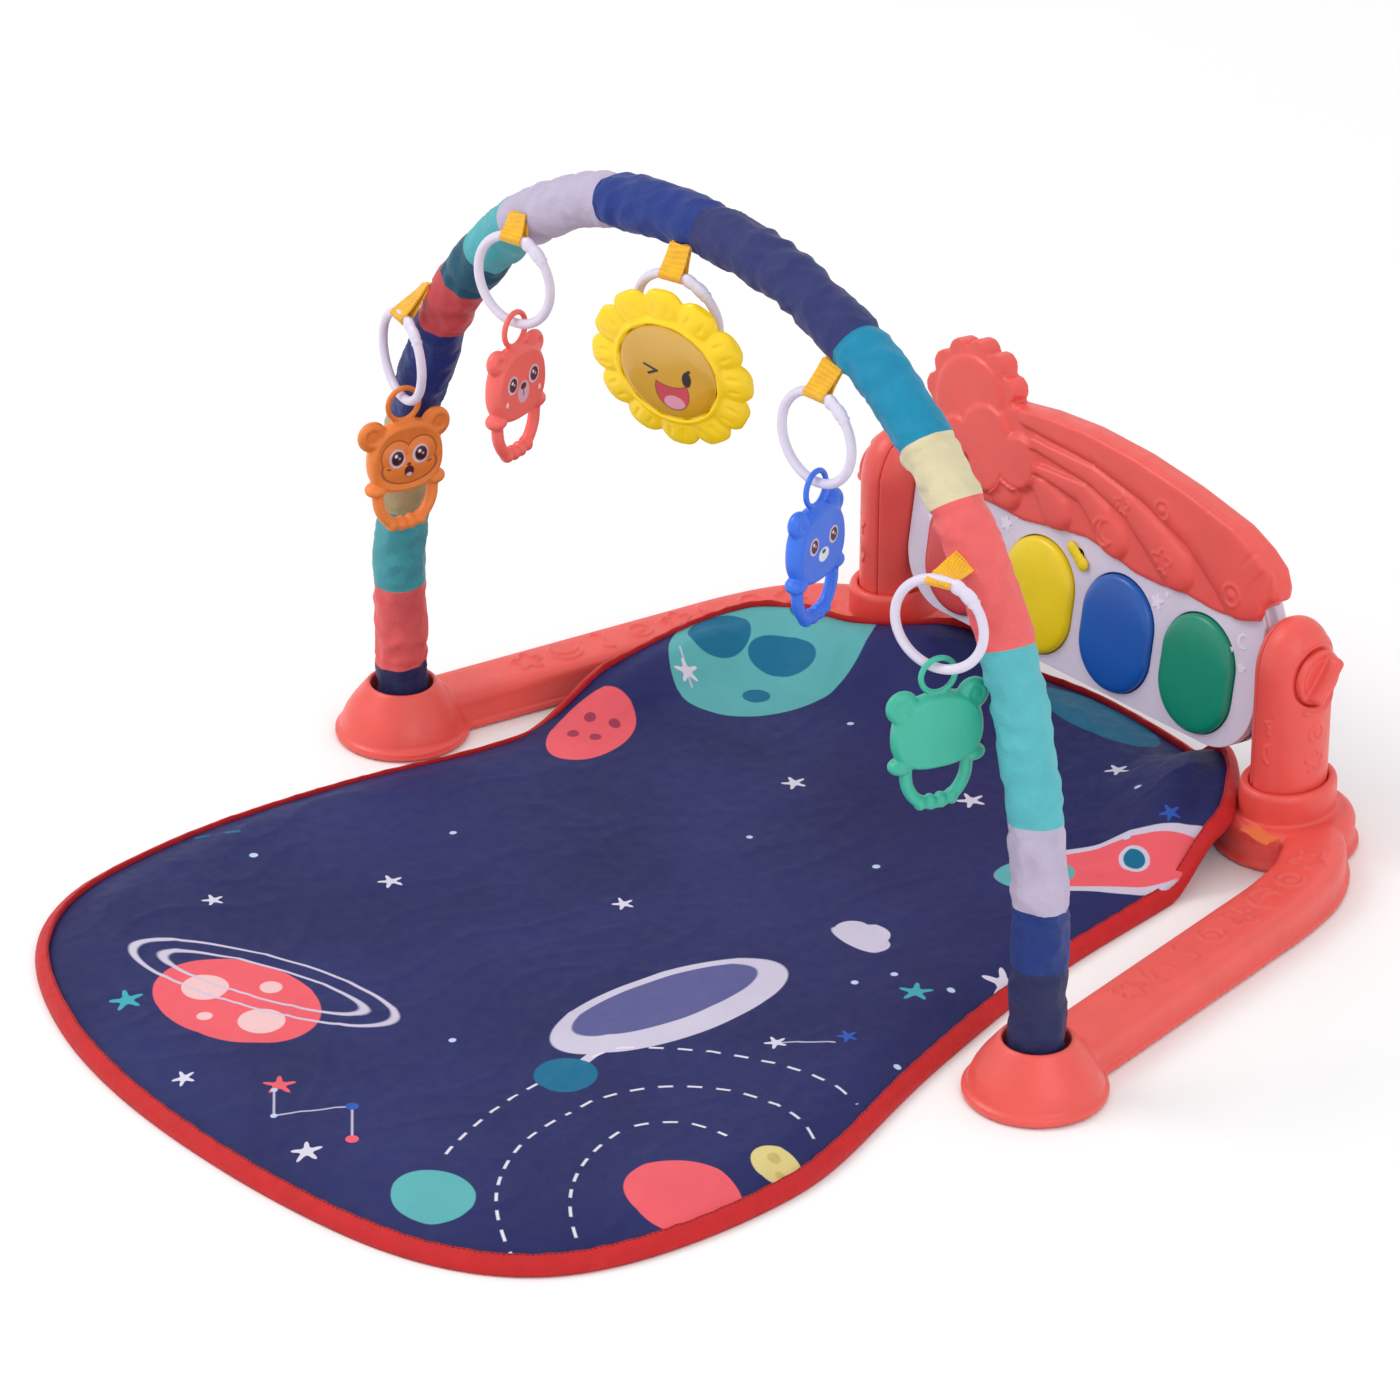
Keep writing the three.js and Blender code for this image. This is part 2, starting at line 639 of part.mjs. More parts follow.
function addArch() {
  const third = axisLength / 3;
  const joints = [third, 2 * third];
  const lengths = [
    ['arch_tube_left', ARCH.foot, joints[0] - 2 * GAP],
    ['arch_tube_top', joints[0] + 2 * GAP, joints[1] - 2 * GAP],
    ['arch_tube_right', joints[1] + 2 * GAP, axisLength - ARCH.foot],
  ];
  lengths.forEach(([name, from, to]) => {
    add(name, tube(stretch(from, to), ARCH.tubeRadius, ARCH.tubeBore, 13, 5), COLOURS.tube);
  });
  joints.forEach((place, i) => {
    const along = stretch(place - FERRULE.length / 2, place + FERRULE.length / 2, 4);
    const ferrule = tube(along, FERRULE.radius, 0, 4, 5);
    add(['ferrule_left', 'ferrule_right'][i], ferrule, COLOURS.steel, { metalness: 0.8, roughness: 0.4 });
  });
  const cloth = tube(stretch(SLEEVE.foot, axisLength - SLEEVE.foot, 60), SLEEVE.outer, SLEEVE.inner, 38, 5);
  add('arch_sleeve', cloth, 0x1b3a85, { roughness: 0.8 });
}

// ---------------------------------------------------------------- hanging toys
const degrees = (angle) => (angle * Math.PI) / 180;

// Upright ring with its bar's highest point at the origin, in the XZ plane.
function ringSolid(bar, sides, steps) {
  const torus = solidOf(new THREE.TorusGeometry(RING.radius, bar, sides, steps).rotateX(Math.PI / 2));
  return moved(torus, 0, 0, -RING.radius);
}

// Webbing folded round the ring's bar and sewn to the sleeve, from the fold to the root.
function tabSolid(hanger) {
  const [fx, fy, fz] = hanger.fold;
  const turn = degrees(hanger.ring);
  const rise = new THREE.Vector3(hanger.root[0] - fx, hanger.root[1] - fy, hanger.root[2] - fz);
  rise.applyAxisAngle(new THREE.Vector3(0, 0, 1), -turn);
  const [w, t] = [TAB.width / 2, TAB.thickness / 2];
  const strip = new THREE.BoxGeometry(2 * w, 2 * t, 1).translate(0, 0, 0.5);
  const place = strip.attributes.position;
  for (let i = 0; i < place.count; i += 1) {
    const up = place.getZ(i);
    place.setXYZ(i, place.getX(i) + rise.x * up, place.getY(i) + rise.y * up, 2.5 + (rise.z - 2.5) * up);
  }
  const loop = cylinder(TAB.loop, -w, w, 'x', 12);
  const band = cut(join(loop, solidOf(strip)), ringSolid(RING.hole, 8, 24));
  return band.rotate([0, 0, hanger.ring]).translate([fx, fy, fz]);
}

function teetherSolid() {
  const { headZ, headHalfX, headHalfZ, thick, loopHole, loopOuter, ear } = TOY;
  const { handleZ, handleHalfX, handleHalfZ, grip, handleThick } = TOY;
  const half = thick / 2;
  const thin = handleThick / 2;
  const loopZ = RING.bar + 1.4 - loopHole;
  const head = facing(ellipse(headHalfX, headHalfZ, 0, headZ), -half, half,
    { round: 4, segments: 7, bottom: true });
  const ears = [-1, 1].map((side) =>
    facing(ellipse(ear, ear, side * (headHalfX - 3.5), headZ + 15), -thin, thin, { segments: 4 }));
  const ringRoom = facing(ellipse(loopHole, loopHole, 0, loopZ), -9, 9, { segments: 6 });
  const loop = cut(facing(ellipse(loopOuter, loopOuter, 0, loopZ), -3, 3, { segments: 7 }), ringRoom);
  const handle = cut(
    facing(pill(handleHalfX, handleHalfZ, 0, handleZ), -thin, thin,
      { round: 2.5, segments: 5, bottom: true }),
    facing(pill(handleHalfX - grip, handleHalfZ - grip, 0, handleZ), -half, half, { segments: 4 }),
  );
  return join(cut(join(head, ...ears), ringRoom), loop, handle);
}

function sunflowerPieces() {
  const { radius, petals, petalRadius, petalFront, petalBack, face, front, back, drop } = SUN;
  const disc = (r, y0, y1, options) =>
    facing(ellipse(r, r, 0, drop), y0, y1, { segments: 12, ...options });
  const tips = Array.from({ length: petals }, (_, i) => {
    const angle = (i / petals) * Math.PI * 2;
    const reach = radius - petalRadius;
    const x = reach * Math.cos(angle);
    const z = drop + reach * Math.sin(angle);
    return facing(ellipse(petalRadius, petalRadius, x, z), petalFront, petalBack, { segments: 5 });
  });
  const seat = disc(face + 0.4, front - 5, front + 4);
  const middle = disc(radius - petalRadius, front + 1, petalBack, { round: 2, bottom: true });
  const flower = cut(join(middle, ...tips), seat);
  const shell = disc(radius - petalRadius, petalBack + GAP, back, { round: 1.6 });
  return { flower, shell, disc: disc(face, front, front + 4 - GAP, { round: 2 }) };
}

function addHangers() {
  const clearance = tube(stretch(10, axisLength - 10, 60), SLEEVE.outer + 0.6, 0, 38, 6);
  const bead = solidOf(new THREE.SphereGeometry(4.4, 6, 4));
  const clasp = moved(
    bead,
    RING.radius * Math.sin(degrees(34)), 0, RING.radius * (Math.cos(degrees(34)) - 1),
  );
  const teether = teetherSolid();
  HANGERS.forEach((hanger, i) => {
    const tab = cut(tabSolid(hanger), clearance).decompose().sort((a, b) => b.volume() - a.volume())[0];
    add(`tab_${i + 1}`, tab, COLOURS.webbing, { roughness: 0.85 });
    const holder = new THREE.Group();
    holder.position.set(...hanger.fold);
    holder.rotation.set(degrees(hanger.swing ?? 0), 0, degrees(hanger.ring), 'ZXY');
    gym.add(holder);
    add(`ring_${i + 1}`, join(ringSolid(RING.bar, 6, 24), clasp), COLOURS.ring, { parent: holder });

    const toy = new THREE.Group();
    toy.position.z = -2 * RING.radius;
    toy.rotation.z = degrees(hanger.toy - hanger.ring);
    holder.add(toy);
    if (hanger.name !== 'sunflower') {
      add(hanger.name, teether, hanger.colour, { parent: toy });
      return;
    }
    const pieces = sunflowerPieces();
    add('sunflower_petals', pieces.flower, hanger.colour, { parent: toy });
    add('sunflower_back', pieces.shell, hanger.colour, { parent: toy });
    add('sunflower_face', pieces.disc, COLOURS.ochre, { parent: toy, roughness: 0.2 });
  });
}

// ---------------------------------------------------------------- mat
function smooth(value) {
  const t = Math.min(Math.max(value, 0), 1);
  return t * t * (3 - 2 * t);
}

// Height of the mat's underside where it climbs onto the left rail and the two collar pads.
function lift(x, y) {
  const alongRail = smooth((y - 40) / 70) * smooth((-x - 160) / 46);
  const pads = [-1, 1].map((side) => smooth((105 - Math.hypot(x - side * POST.x, y - POST.y)) / 45));
  return MAT.lift * Math.max(alongRail, ...pads);
}

function addMat() {
  const edge = new THREE.CatmullRomCurve3(MAT_EDGE.map(([x, y]) => new THREE.Vector3(x, y, 0)), true);
  const around = 64;
  const [cx, cy] = MAT.centre;
  const rings = [
    [0.55, MAT.thick], [0.76, MAT.thick], [0.88, MAT.thick], [0.96, MAT.edge + 3],
    [1, MAT.edge - 1], [1, 0.8], [0.97, 0], [0.88, 0], [0.76, 0], [0.55, 0],
  ];
  const vertices = [cx, cy, MAT.thick];
  rings.forEach(([share, height]) => {
    for (let i = 0; i < around; i += 1) {
      const p = edge.getPointAt(i / around);
      const x = cx + (p.x - cx) * share;
      const y = cy + (p.y - cy) * share;
      vertices.push(x, y, height + lift(x, y));
    }
  });
  vertices.push(cx, cy, 0);
  const last = vertices.length / 3 - 1;
  const at = (ring, i) => 1 + ring * around + (i % around);
  const triangles = [];
  for (let i = 0; i < around; i += 1) {
    triangles.push(0, at(0, i), at(0, i + 1));
    triangles.push(last, at(rings.length - 1, i + 1), at(rings.length - 1, i));
    for (let ring = 0; ring < rings.length - 1; ring += 1) {
      triangles.push(at(ring, i), at(ring + 1, i), at(ring + 1, i + 1));
      triangles.push(at(ring, i), at(ring + 1, i + 1), at(ring, i + 1));
    }
  }
  const geometry = new THREE.BufferGeometry();
  geometry.setAttribute('position', new THREE.Float32BufferAttribute(vertices, 3));
  geometry.setIndex(triangles);
  add('play_mat', solidOf(geometry), COLOURS.navy, { roughness: 0.9 });

  const strap = new THREE.Shape();
  strap.moveTo(0, -6);
  strap.lineTo(22, -6);
  strap.lineTo(22, 6);
  strap.lineTo(0, 6);
  const webbing = prism(strap, RAIL.top + GAP, RAIL.top + 2).rotate([0, 0, -4]).translate([170, 263, 0]);
  addPair('mat_strap', webbing, COLOURS.strap, { roughness: 0.85 });
}

addBase();
addPosts();
addPiano();
addArch();
addHangers();
addMat();

const whole = new THREE.Group();
gym.position.y = -(BASE_BACK + MAT_FRONT) / 2;
whole.add(gym);

export default whole;
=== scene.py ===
"""Looks of the activity play gym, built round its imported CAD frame.

Blender works in metres; shapes are drawn in millimetres and scaled by MM as they are made.
+X is to the right of a child whose feet are at the piano, +Y is towards the piano, +Z is up.
"""
import json
import math

import bmesh
import bpy
from mathutils import Matrix, Vector, noise


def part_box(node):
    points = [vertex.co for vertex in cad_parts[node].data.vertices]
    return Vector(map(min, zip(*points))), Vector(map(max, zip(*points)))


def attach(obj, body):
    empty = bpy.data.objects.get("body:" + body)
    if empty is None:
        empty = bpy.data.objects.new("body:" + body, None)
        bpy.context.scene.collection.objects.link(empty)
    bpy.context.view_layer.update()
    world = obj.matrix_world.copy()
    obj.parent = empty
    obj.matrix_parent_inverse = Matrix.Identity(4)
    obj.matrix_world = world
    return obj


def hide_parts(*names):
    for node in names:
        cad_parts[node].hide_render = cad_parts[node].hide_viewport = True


MM = 0.001
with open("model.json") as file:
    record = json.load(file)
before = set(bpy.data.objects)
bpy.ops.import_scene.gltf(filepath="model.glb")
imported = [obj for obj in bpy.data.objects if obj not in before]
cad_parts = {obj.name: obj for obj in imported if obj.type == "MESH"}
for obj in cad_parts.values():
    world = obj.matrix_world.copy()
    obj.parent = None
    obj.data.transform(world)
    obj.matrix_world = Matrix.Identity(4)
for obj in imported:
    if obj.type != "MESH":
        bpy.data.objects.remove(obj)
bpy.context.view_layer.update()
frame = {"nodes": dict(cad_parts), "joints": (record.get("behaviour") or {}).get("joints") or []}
scene = bpy.context.scene
JOINTS = {joint["name"]: joint for joint in frame["joints"]}
PLAIN = Matrix.Identity(4)


def low(node):
    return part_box(node)[0] / MM


def high(node):
    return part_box(node)[1] / MM


ARCH_Y = (low("arch_sleeve").y + high("arch_sleeve").y) / 2
SLEEVE = 16.0  # outer radius of the CAD sleeve
HALF_SPAN = high("arch_sleeve").x - SLEEVE
ARCH_TOP = high("arch_sleeve").z - SLEEVE
HEM = low("arch_sleeve").z
SPRING, ROUNDNESS = 83.0, 2.195  # height where the legs bend in, and the arch's superellipse power
PIVOT = Vector(JOINTS["piano_tilt"]["pos_m"])
PRESS = Vector(JOINTS["red_key_press"]["axis"])
LEAN = math.atan2(PRESS.z, PRESS.y)
PIANO = Matrix.Translation(PIVOT) @ Matrix.Rotation(LEAN, 4, "X")


# ---------------------------------------------------------------- camera
def add_camera():
    """A long lens above the mat's open corner, looking down at the gym."""
    around, above, roll = math.radians(48.583), math.radians(28.039), math.radians(0.231)
    target = Vector((-8.16, ARCH_Y + 3.98, 124.6)) * MM
    distance = 3.5927
    back = Vector((math.sin(around) * math.cos(above), -math.cos(around) * math.cos(above), math.sin(above)))
    right = Vector((0, 0, 1)).cross(back).normalized()
    up = back.cross(right)
    turned_right = right * math.cos(roll) + up * math.sin(roll)
    turned_up = back.cross(turned_right)
    camera = bpy.data.objects.new("camera", bpy.data.cameras.new("camera"))
    camera.data.sensor_width = 36
    camera.data.lens = 166.1
    camera.data.clip_end = 50
    camera.matrix_world = Matrix.Translation(target + back * distance) @ Matrix(
        (turned_right, turned_up, back)).transposed().to_4x4()
    scene.collection.objects.link(camera)
    scene.camera = camera


add_camera()


# ---------------------------------------------------------------- closed skins, in millimetres
def make(name, skin, place=PLAIN, smooth=True):
    """A mesh object from one skin of points and faces; place is its frame in the room."""
    points, faces = skin
    mesh = bpy.data.meshes.new(name)
    mesh.from_pydata([Vector(p) * MM for p in points], [], faces)
    work = bmesh.new()
    work.from_mesh(mesh)
    bmesh.ops.recalc_face_normals(work, faces=work.faces)
    work.to_mesh(mesh)
    work.free()
    mesh.polygons.foreach_set("use_smooth", [smooth] * len(mesh.polygons))
    obj = bpy.data.objects.new(name, mesh)
    obj.matrix_world = place
    scene.collection.objects.link(obj)
    return obj


def merge(skins):
    points, faces = [], []
    for some_points, some_faces in skins:
        start = len(points)
        points += some_points
        faces += [tuple(start + i for i in face) for face in some_faces]
    return points, faces


def loft(rings, closed=False):
    """Skin through rings of points, capped at both ends, or joined end to end when closed."""
    count = len(rings[0])
    points = [p for ring in rings for p in ring]
    faces = []
    for i in range(len(rings) if closed else len(rings) - 1):
        a, b = i * count, (i + 1) % len(rings) * count
        faces += [(a + j, a + (j + 1) % count, b + (j + 1) % count, b + j) for j in range(count)]
    if not closed:
        faces.append(tuple(reversed(range(count))))
        faces.append(tuple((len(rings) - 1) * count + j for j in range(count)))
    return points, faces


def turned(profile, centre=(0, 0, 0), stretch=(1, 1), sides=72, closed=False):
    """Skin of revolution about Z from (radius, height) pairs."""
    rings = []
    for radius, height in profile:
        rings.append([(centre[0] + stretch[0] * radius * math.cos(a),
                       centre[1] + stretch[1] * radius * math.sin(a),
                       centre[2] + height) for a in (2 * math.pi * i / sides for i in range(sides))])
    return loft(rings, closed)


def ball(centre, radii, sides=20):
    rx, ry, rz = radii
    steps = [math.pi * (i + 0.02) / (sides / 2 + 0.04) for i in range(sides // 2 + 1)]
    return loft([[(centre[0] + rx * math.sin(b) * math.cos(a), centre[1] + ry * math.sin(b) * math.sin(a),
                   centre[2] + rz * math.cos(b)) for a in (2 * math.pi * i / sides for i in range(sides))]
                 for b in steps])


def sweep(path, section, closed=False, across=(0, 0, 1)):
    """Skin of a section of (side, up) pairs carried along a path; section may vary with the step."""
    rings = []
    count = len(path)
    for i, point in enumerate(path):
        before = path[(i - 1) % count] if closed or i else path[0]
        after = path[(i + 1) % count] if closed or i < count - 1 else path[-1]
        ahead = (Vector(after) - Vector(before)).normalized()
        side = ahead.cross(Vector(across)).normalized()
        rise = side.cross(ahead)
        pairs = section(i) if callable(section) else section
        rings.append([tuple(Vector(point) + side * u + rise * v) for u, v in pairs])
    return loft(rings, closed)


def circle(radius, sides=16):
    return [(radius * math.cos(2 * math.pi * i / sides), radius * math.sin(2 * math.pi * i / sides))
            for i in range(sides)]


def oval(x, z, rx, rz, sides=48):
    return [(x + rx * math.cos(2 * math.pi * i / sides), z + rz * math.sin(2 * math.pi * i / sides))
            for i in range(sides)]


def pill(x, z, radius, half, sides=48):
    """Upright round-ended outline."""
    straight = half - radius
    return [(x + radius * math.cos(a),
             z + radius * math.sin(a) + (straight if math.sin(a) > 0 else -straight))
            for a in (2 * math.pi * (i + 0.5) / sides for i in range(sides))]


def plate(outlines, front, back, rounding=0.0):
    """Skin of a flat piece standing in XZ; the outlines after the first are holes in it."""
    curve = bpy.data.curves.new("outline", "CURVE")
    curve.dimensions = "2D"
    curve.fill_mode = "BOTH"
    curve.extrude = (back - front) / 2 - rounding
    curve.bevel_depth = rounding
    curve.bevel_resolution = 3
    curve.offset = -rounding
    for number, outline in enumerate(outlines):
        area = sum(a[0] * b[1] - b[0] * a[1] for a, b in zip(outline, outline[1:] + outline[:1]))
        wanted = outline if (area > 0) == (number == 0) else list(reversed(outline))
        spline = curve.splines.new("POLY")
        spline.points.add(len(wanted) - 1)
        spline.use_cyclic_u = True
        for point, (x, z) in zip(spline.points, wanted):
            point.co = (x, z, 0, 1)
    holder = bpy.data.objects.new("outline", curve)
    mesh = holder.to_mesh()
    middle = (front + back) / 2
    skin = [(v.co.x, middle - v.co.z, v.co.y) for v in mesh.vertices], [tuple(p.vertices)
                                                                        for p in mesh.polygons]
    work = bmesh.new()
    verts = [work.verts.new(p) for p in skin[0]]
    for face in skin[1]:
        if len(set(face)) == len(face):
            work.faces.new([verts[i] for i in face])
    bmesh.ops.remove_doubles(work, verts=work.verts, dist=1e-4)
    work.verts.index_update()
    skin = [tuple(v.co) for v in work.verts], [tuple(v.index for v in f.verts) for f in work.faces]
    work.free()
    holder.to_mesh_clear()
    bpy.data.objects.remove(holder)
    bpy.data.curves.remove(curve)
    return skin


def settle(obj, name):
    """obj with its modifiers made real, under a new name."""
    bpy.context.view_layer.update()
    mesh = bpy.data.meshes.new_from_object(obj.evaluated_get(bpy.context.evaluated_depsgraph_get()))
    done = bpy.data.objects.new(name, mesh)
    done.matrix_world = obj.matrix_world.copy()
    scene.collection.objects.link(done)
    bpy.data.objects.remove(obj)
    mesh.name = name
    mesh.polygons.foreach_set("use_smooth", [True] * len(mesh.polygons))
    return done


def fuse(name, rough, voxel, rounds):
    """One soft skin over the overlapping closed skins of the object rough."""
    skin = rough.modifiers.new("skin", "REMESH")
    skin.mode = "VOXEL"
    skin.voxel_size = voxel * MM
    if rounds:
        relax = rough.modifiers.new("relax", "SMOOTH")
        relax.factor = 0.5
        relax.iterations = rounds
    return settle(rough, name)


def carve(name, obj, *tools, how="DIFFERENCE"):
    """obj cut by, or joined with, other objects, which are used up."""
    for tool in tools:
        step = obj.modifiers.new("carve", "BOOLEAN")
        step.operation = how
        step.object = tool
        step.solver = "EXACT"
    done = settle(obj, name)
    for tool in tools:
        bpy.data.objects.remove(tool)
    return done


def from_cad(node, place=PLAIN):
    """A free copy of a CAD node's mesh at rest, as an object whose frame is place."""
    source = frame["nodes"][node]
    mesh = source.data.copy()
    mesh.materials.clear()
    mesh.transform(place.inverted() @ source.matrix_world)
    obj = bpy.data.objects.new(node + "_rough", mesh)
    obj.matrix_world = place
    scene.collection.objects.link(obj)
    return obj


def push(obj, move):
    """Moves every vertex by move(point, normal), all in millimetres in the object's frame."""
    mesh = obj.data
    normals = [v.normal.copy() for v in mesh.vertices]
    for vertex, normal in zip(mesh.vertices, normals):
        shift = move(vertex.co / MM, normal)
        if shift is not None:
            vertex.co += Vector(shift) * MM
    mesh.update()


def mirrored(obj, name):
    """The left-hand twin of a right-hand piece."""
    twin = bpy.data.objects.new(name, obj.data.copy())
    twin.data.transform(Matrix.Diagonal((-1, 1, 1, 1)))
    twin.data.flip_normals()
    scene.collection.objects.link(twin)
    return twin


def ease(value):
    value = min(max(value, 0.0), 1.0)
    return value * value * (3 - 2 * value)


# ---------------------------------------------------------------- embossed marks
def star_gap(x, z, radius):
    """Signed distance to a rounded star's outline; negative inside."""
    return math.hypot(x, z) - radius * (0.78 + 0.22 * math.cos(5 * (math.atan2(z, x) - math.pi / 2)))


def moon_gap(x, z, radius):
    return max(math.hypot(x, z) - radius, radius * 0.86 - math.hypot(x - radius * 0.5, z - radius * 0.25))


def mark_height(kind, x, z, radius, line=1.0):
    """Height share of one raised outline: a star, a moon, a ring with a dot, or a wave."""
    if math.hypot(x, z) > radius + 3:
        return 0.0
    if kind == "star":
        gap = abs(star_gap(x, z, radius)) - line
    elif kind == "moon":
        gap = abs(moon_gap(x, z, radius)) - line
    elif kind == "ring":
        gap = min(abs(math.hypot(x, z) - radius * 0.8) - line, math.hypot(x, z) - radius * 0.3)
    else:
        gap = max(abs(z - radius * 0.3 * math.sin(3.4 * x / radius)) - line, abs(x) - radius)
    return ease(0.5 - gap / 1.2)


# ---------------------------------------------------------------- materials
class Field:
    """A number at every point of a surface, worked out by shader nodes."""

    def __init__(self, tree, socket):
        self.tree, self.socket = tree, socket

    def op(self, kind, *others):
        node = self.tree.nodes.new("ShaderNodeMath")
        node.operation = kind
        for slot, value in zip(node.inputs, (self, *others)):
            if isinstance(value, Field):
                self.tree.links.new(value.socket, slot)
            else:
                slot.default_value = value
        return Field(self.tree, node.outputs[0])

    def __add__(self, other):
        return self.op("ADD", other)

    def __sub__(self, other):
        return self.op("SUBTRACT", other)

    def __mul__(self, other):
        return self.op("MULTIPLY", other)

    def least(self, *others):
        result = self
        for other in others:
            result = result.op("MINIMUM", other)
        return result

    def most(self, other):
        return self.op("MAXIMUM", other)


def linear(colour):
    """A hex colour as linear RGBA."""
    parts = [int(colour[i:i + 2], 16) / 255 for i in (1, 3, 5)]
    return [c / 12.92 if c <= 0.04045 else ((c + 0.055) / 1.055) ** 2.4 for c in parts] + [1.0]


class Finish:
    """A node material: a colour that varies a little, an even or varied gloss, and a bumped surface."""

    def __init__(self, name, coat=0.0, sheen=0.0, metal=0.0, soft=0.0, shine=0.5):
        self.material = bpy.data.materials.new(name)
        self.material.use_nodes = True
        self.tree = self.material.node_tree
        self.shader = self.tree.nodes["Principled BSDF"]
        self.shader.inputs["Coat Weight"].default_value = coat
        self.shader.inputs["Coat Roughness"].default_value = 0.25
        self.shader.inputs["Sheen Weight"].default_value = sheen
        self.shader.inputs["Sheen Roughness"].default_value = 0.4
        self.shader.inputs["Metallic"].default_value = metal
        self.shader.inputs["Subsurface Weight"].default_value = soft
        self.shader.inputs["Subsurface Scale"].default_value = 0.004
        self.shader.inputs["Specular IOR Level"].default_value = shine
        place = self.tree.nodes.new("ShaderNodeTexCoord")
        self.object_space = place.outputs["Object"]
        self.uv_space = place.outputs["UV"]
        self.heights = []

    def node(self, kind, **settings):
        made = self.tree.nodes.new(kind)
        for key, value in settings.items():
            setattr(made, key, value)
        return made

    def noise(self, size, detail=3.0, space=None, seed=0.0):
        """Noise with features of about size millimetres."""
        texture = self.node("ShaderNodeTexNoise", noise_dimensions="4D")
        texture.inputs["Scale"].default_value = 1 / (size * MM)
        texture.inputs["Detail"].default_value = detail
        texture.inputs["W"].default_value = seed
        self.tree.links.new(space or self.object_space, texture.inputs["Vector"])
        return texture.outputs["Fac"]

    def ramp(self, source, stops, constant=False):
        ramp = self.node("ShaderNodeValToRGB")
        if constant:
            ramp.color_ramp.interpolation = "CONSTANT"
        elements = ramp.color_ramp.elements
        elements.remove(elements[1])
        elements[0].position, elements[0].color = stops[0]
        for position, colour in stops[1:]:
            elements.new(position).color = colour
        self.tree.links.new(source, ramp.inputs["Fac"])
        return ramp.outputs["Color"]

    def mix(self, share, below, above, kind="MIX"):
        mixer = self.node("ShaderNodeMix", data_type="RGBA", blend_type=kind)
        for slot, value in ((0, share), (6, below), (7, above)):
            if isinstance(value, bpy.types.NodeSocket):
                self.tree.links.new(value, mixer.inputs[slot])
            else:
                mixer.inputs[slot].default_value = value
        return mixer.outputs[2]

    def cloudy(self, colour, size=30.0, spread=0.06):
        """The colour with soft lighter and darker patches."""
        base = Vector(linear(colour)[:3])
        return self.ramp(self.noise(size), [
            (0.3, (*(base * (1 - spread)), 1)), (0.7, (*(base * (1 + spread)), 1))])

    def gloss(self, smoothest, roughest, size=8.0):
        self.tree.links.new(self.ramp(self.noise(size, 5.0, seed=3.0), [
            (0.35, (smoothest,) * 3 + (1,)), (0.7, (roughest,) * 3 + (1,))]), self.shader.inputs["Roughness"])

    def bump(self, height, depth, strength=1.0):
        """Adds a height pattern, depth millimetres from its lowest to its highest point."""
        bump = self.node("ShaderNodeBump")
        bump.inputs["Strength"].default_value = strength
        bump.inputs["Distance"].default_value = depth * MM
        self.tree.links.new(height, bump.inputs["Height"])
        if self.heights:
            self.tree.links.new(self.heights[-1], bump.inputs["Normal"])
        self.heights.append(bump.outputs["Normal"])

    def weave(self, pitch, depth, space=None):
        """Warp and weft threads."""
        threads = []
        for direction in ("X", "Y"):
            wave = self.node("ShaderNodeTexWave", bands_direction=direction)
            wave.inputs["Scale"].default_value = 2 * math.pi / (20 * pitch * MM)
            wave.inputs["Distortion"].default_value = 0.6
            wave.inputs["Detail"].default_value = 1.0
            self.tree.links.new(space or self.object_space, wave.inputs["Vector"])
            threads.append(Field(self.tree, wave.outputs["Fac"]))
        self.bump((threads[0] * threads[1]).socket, depth)

    def done(self, colour):
        self.tree.links.new(colour, self.shader.inputs["Base Color"])
        if self.heights:
            self.tree.links.new(self.heights[-1], self.shader.inputs["Normal"])
        return self.material


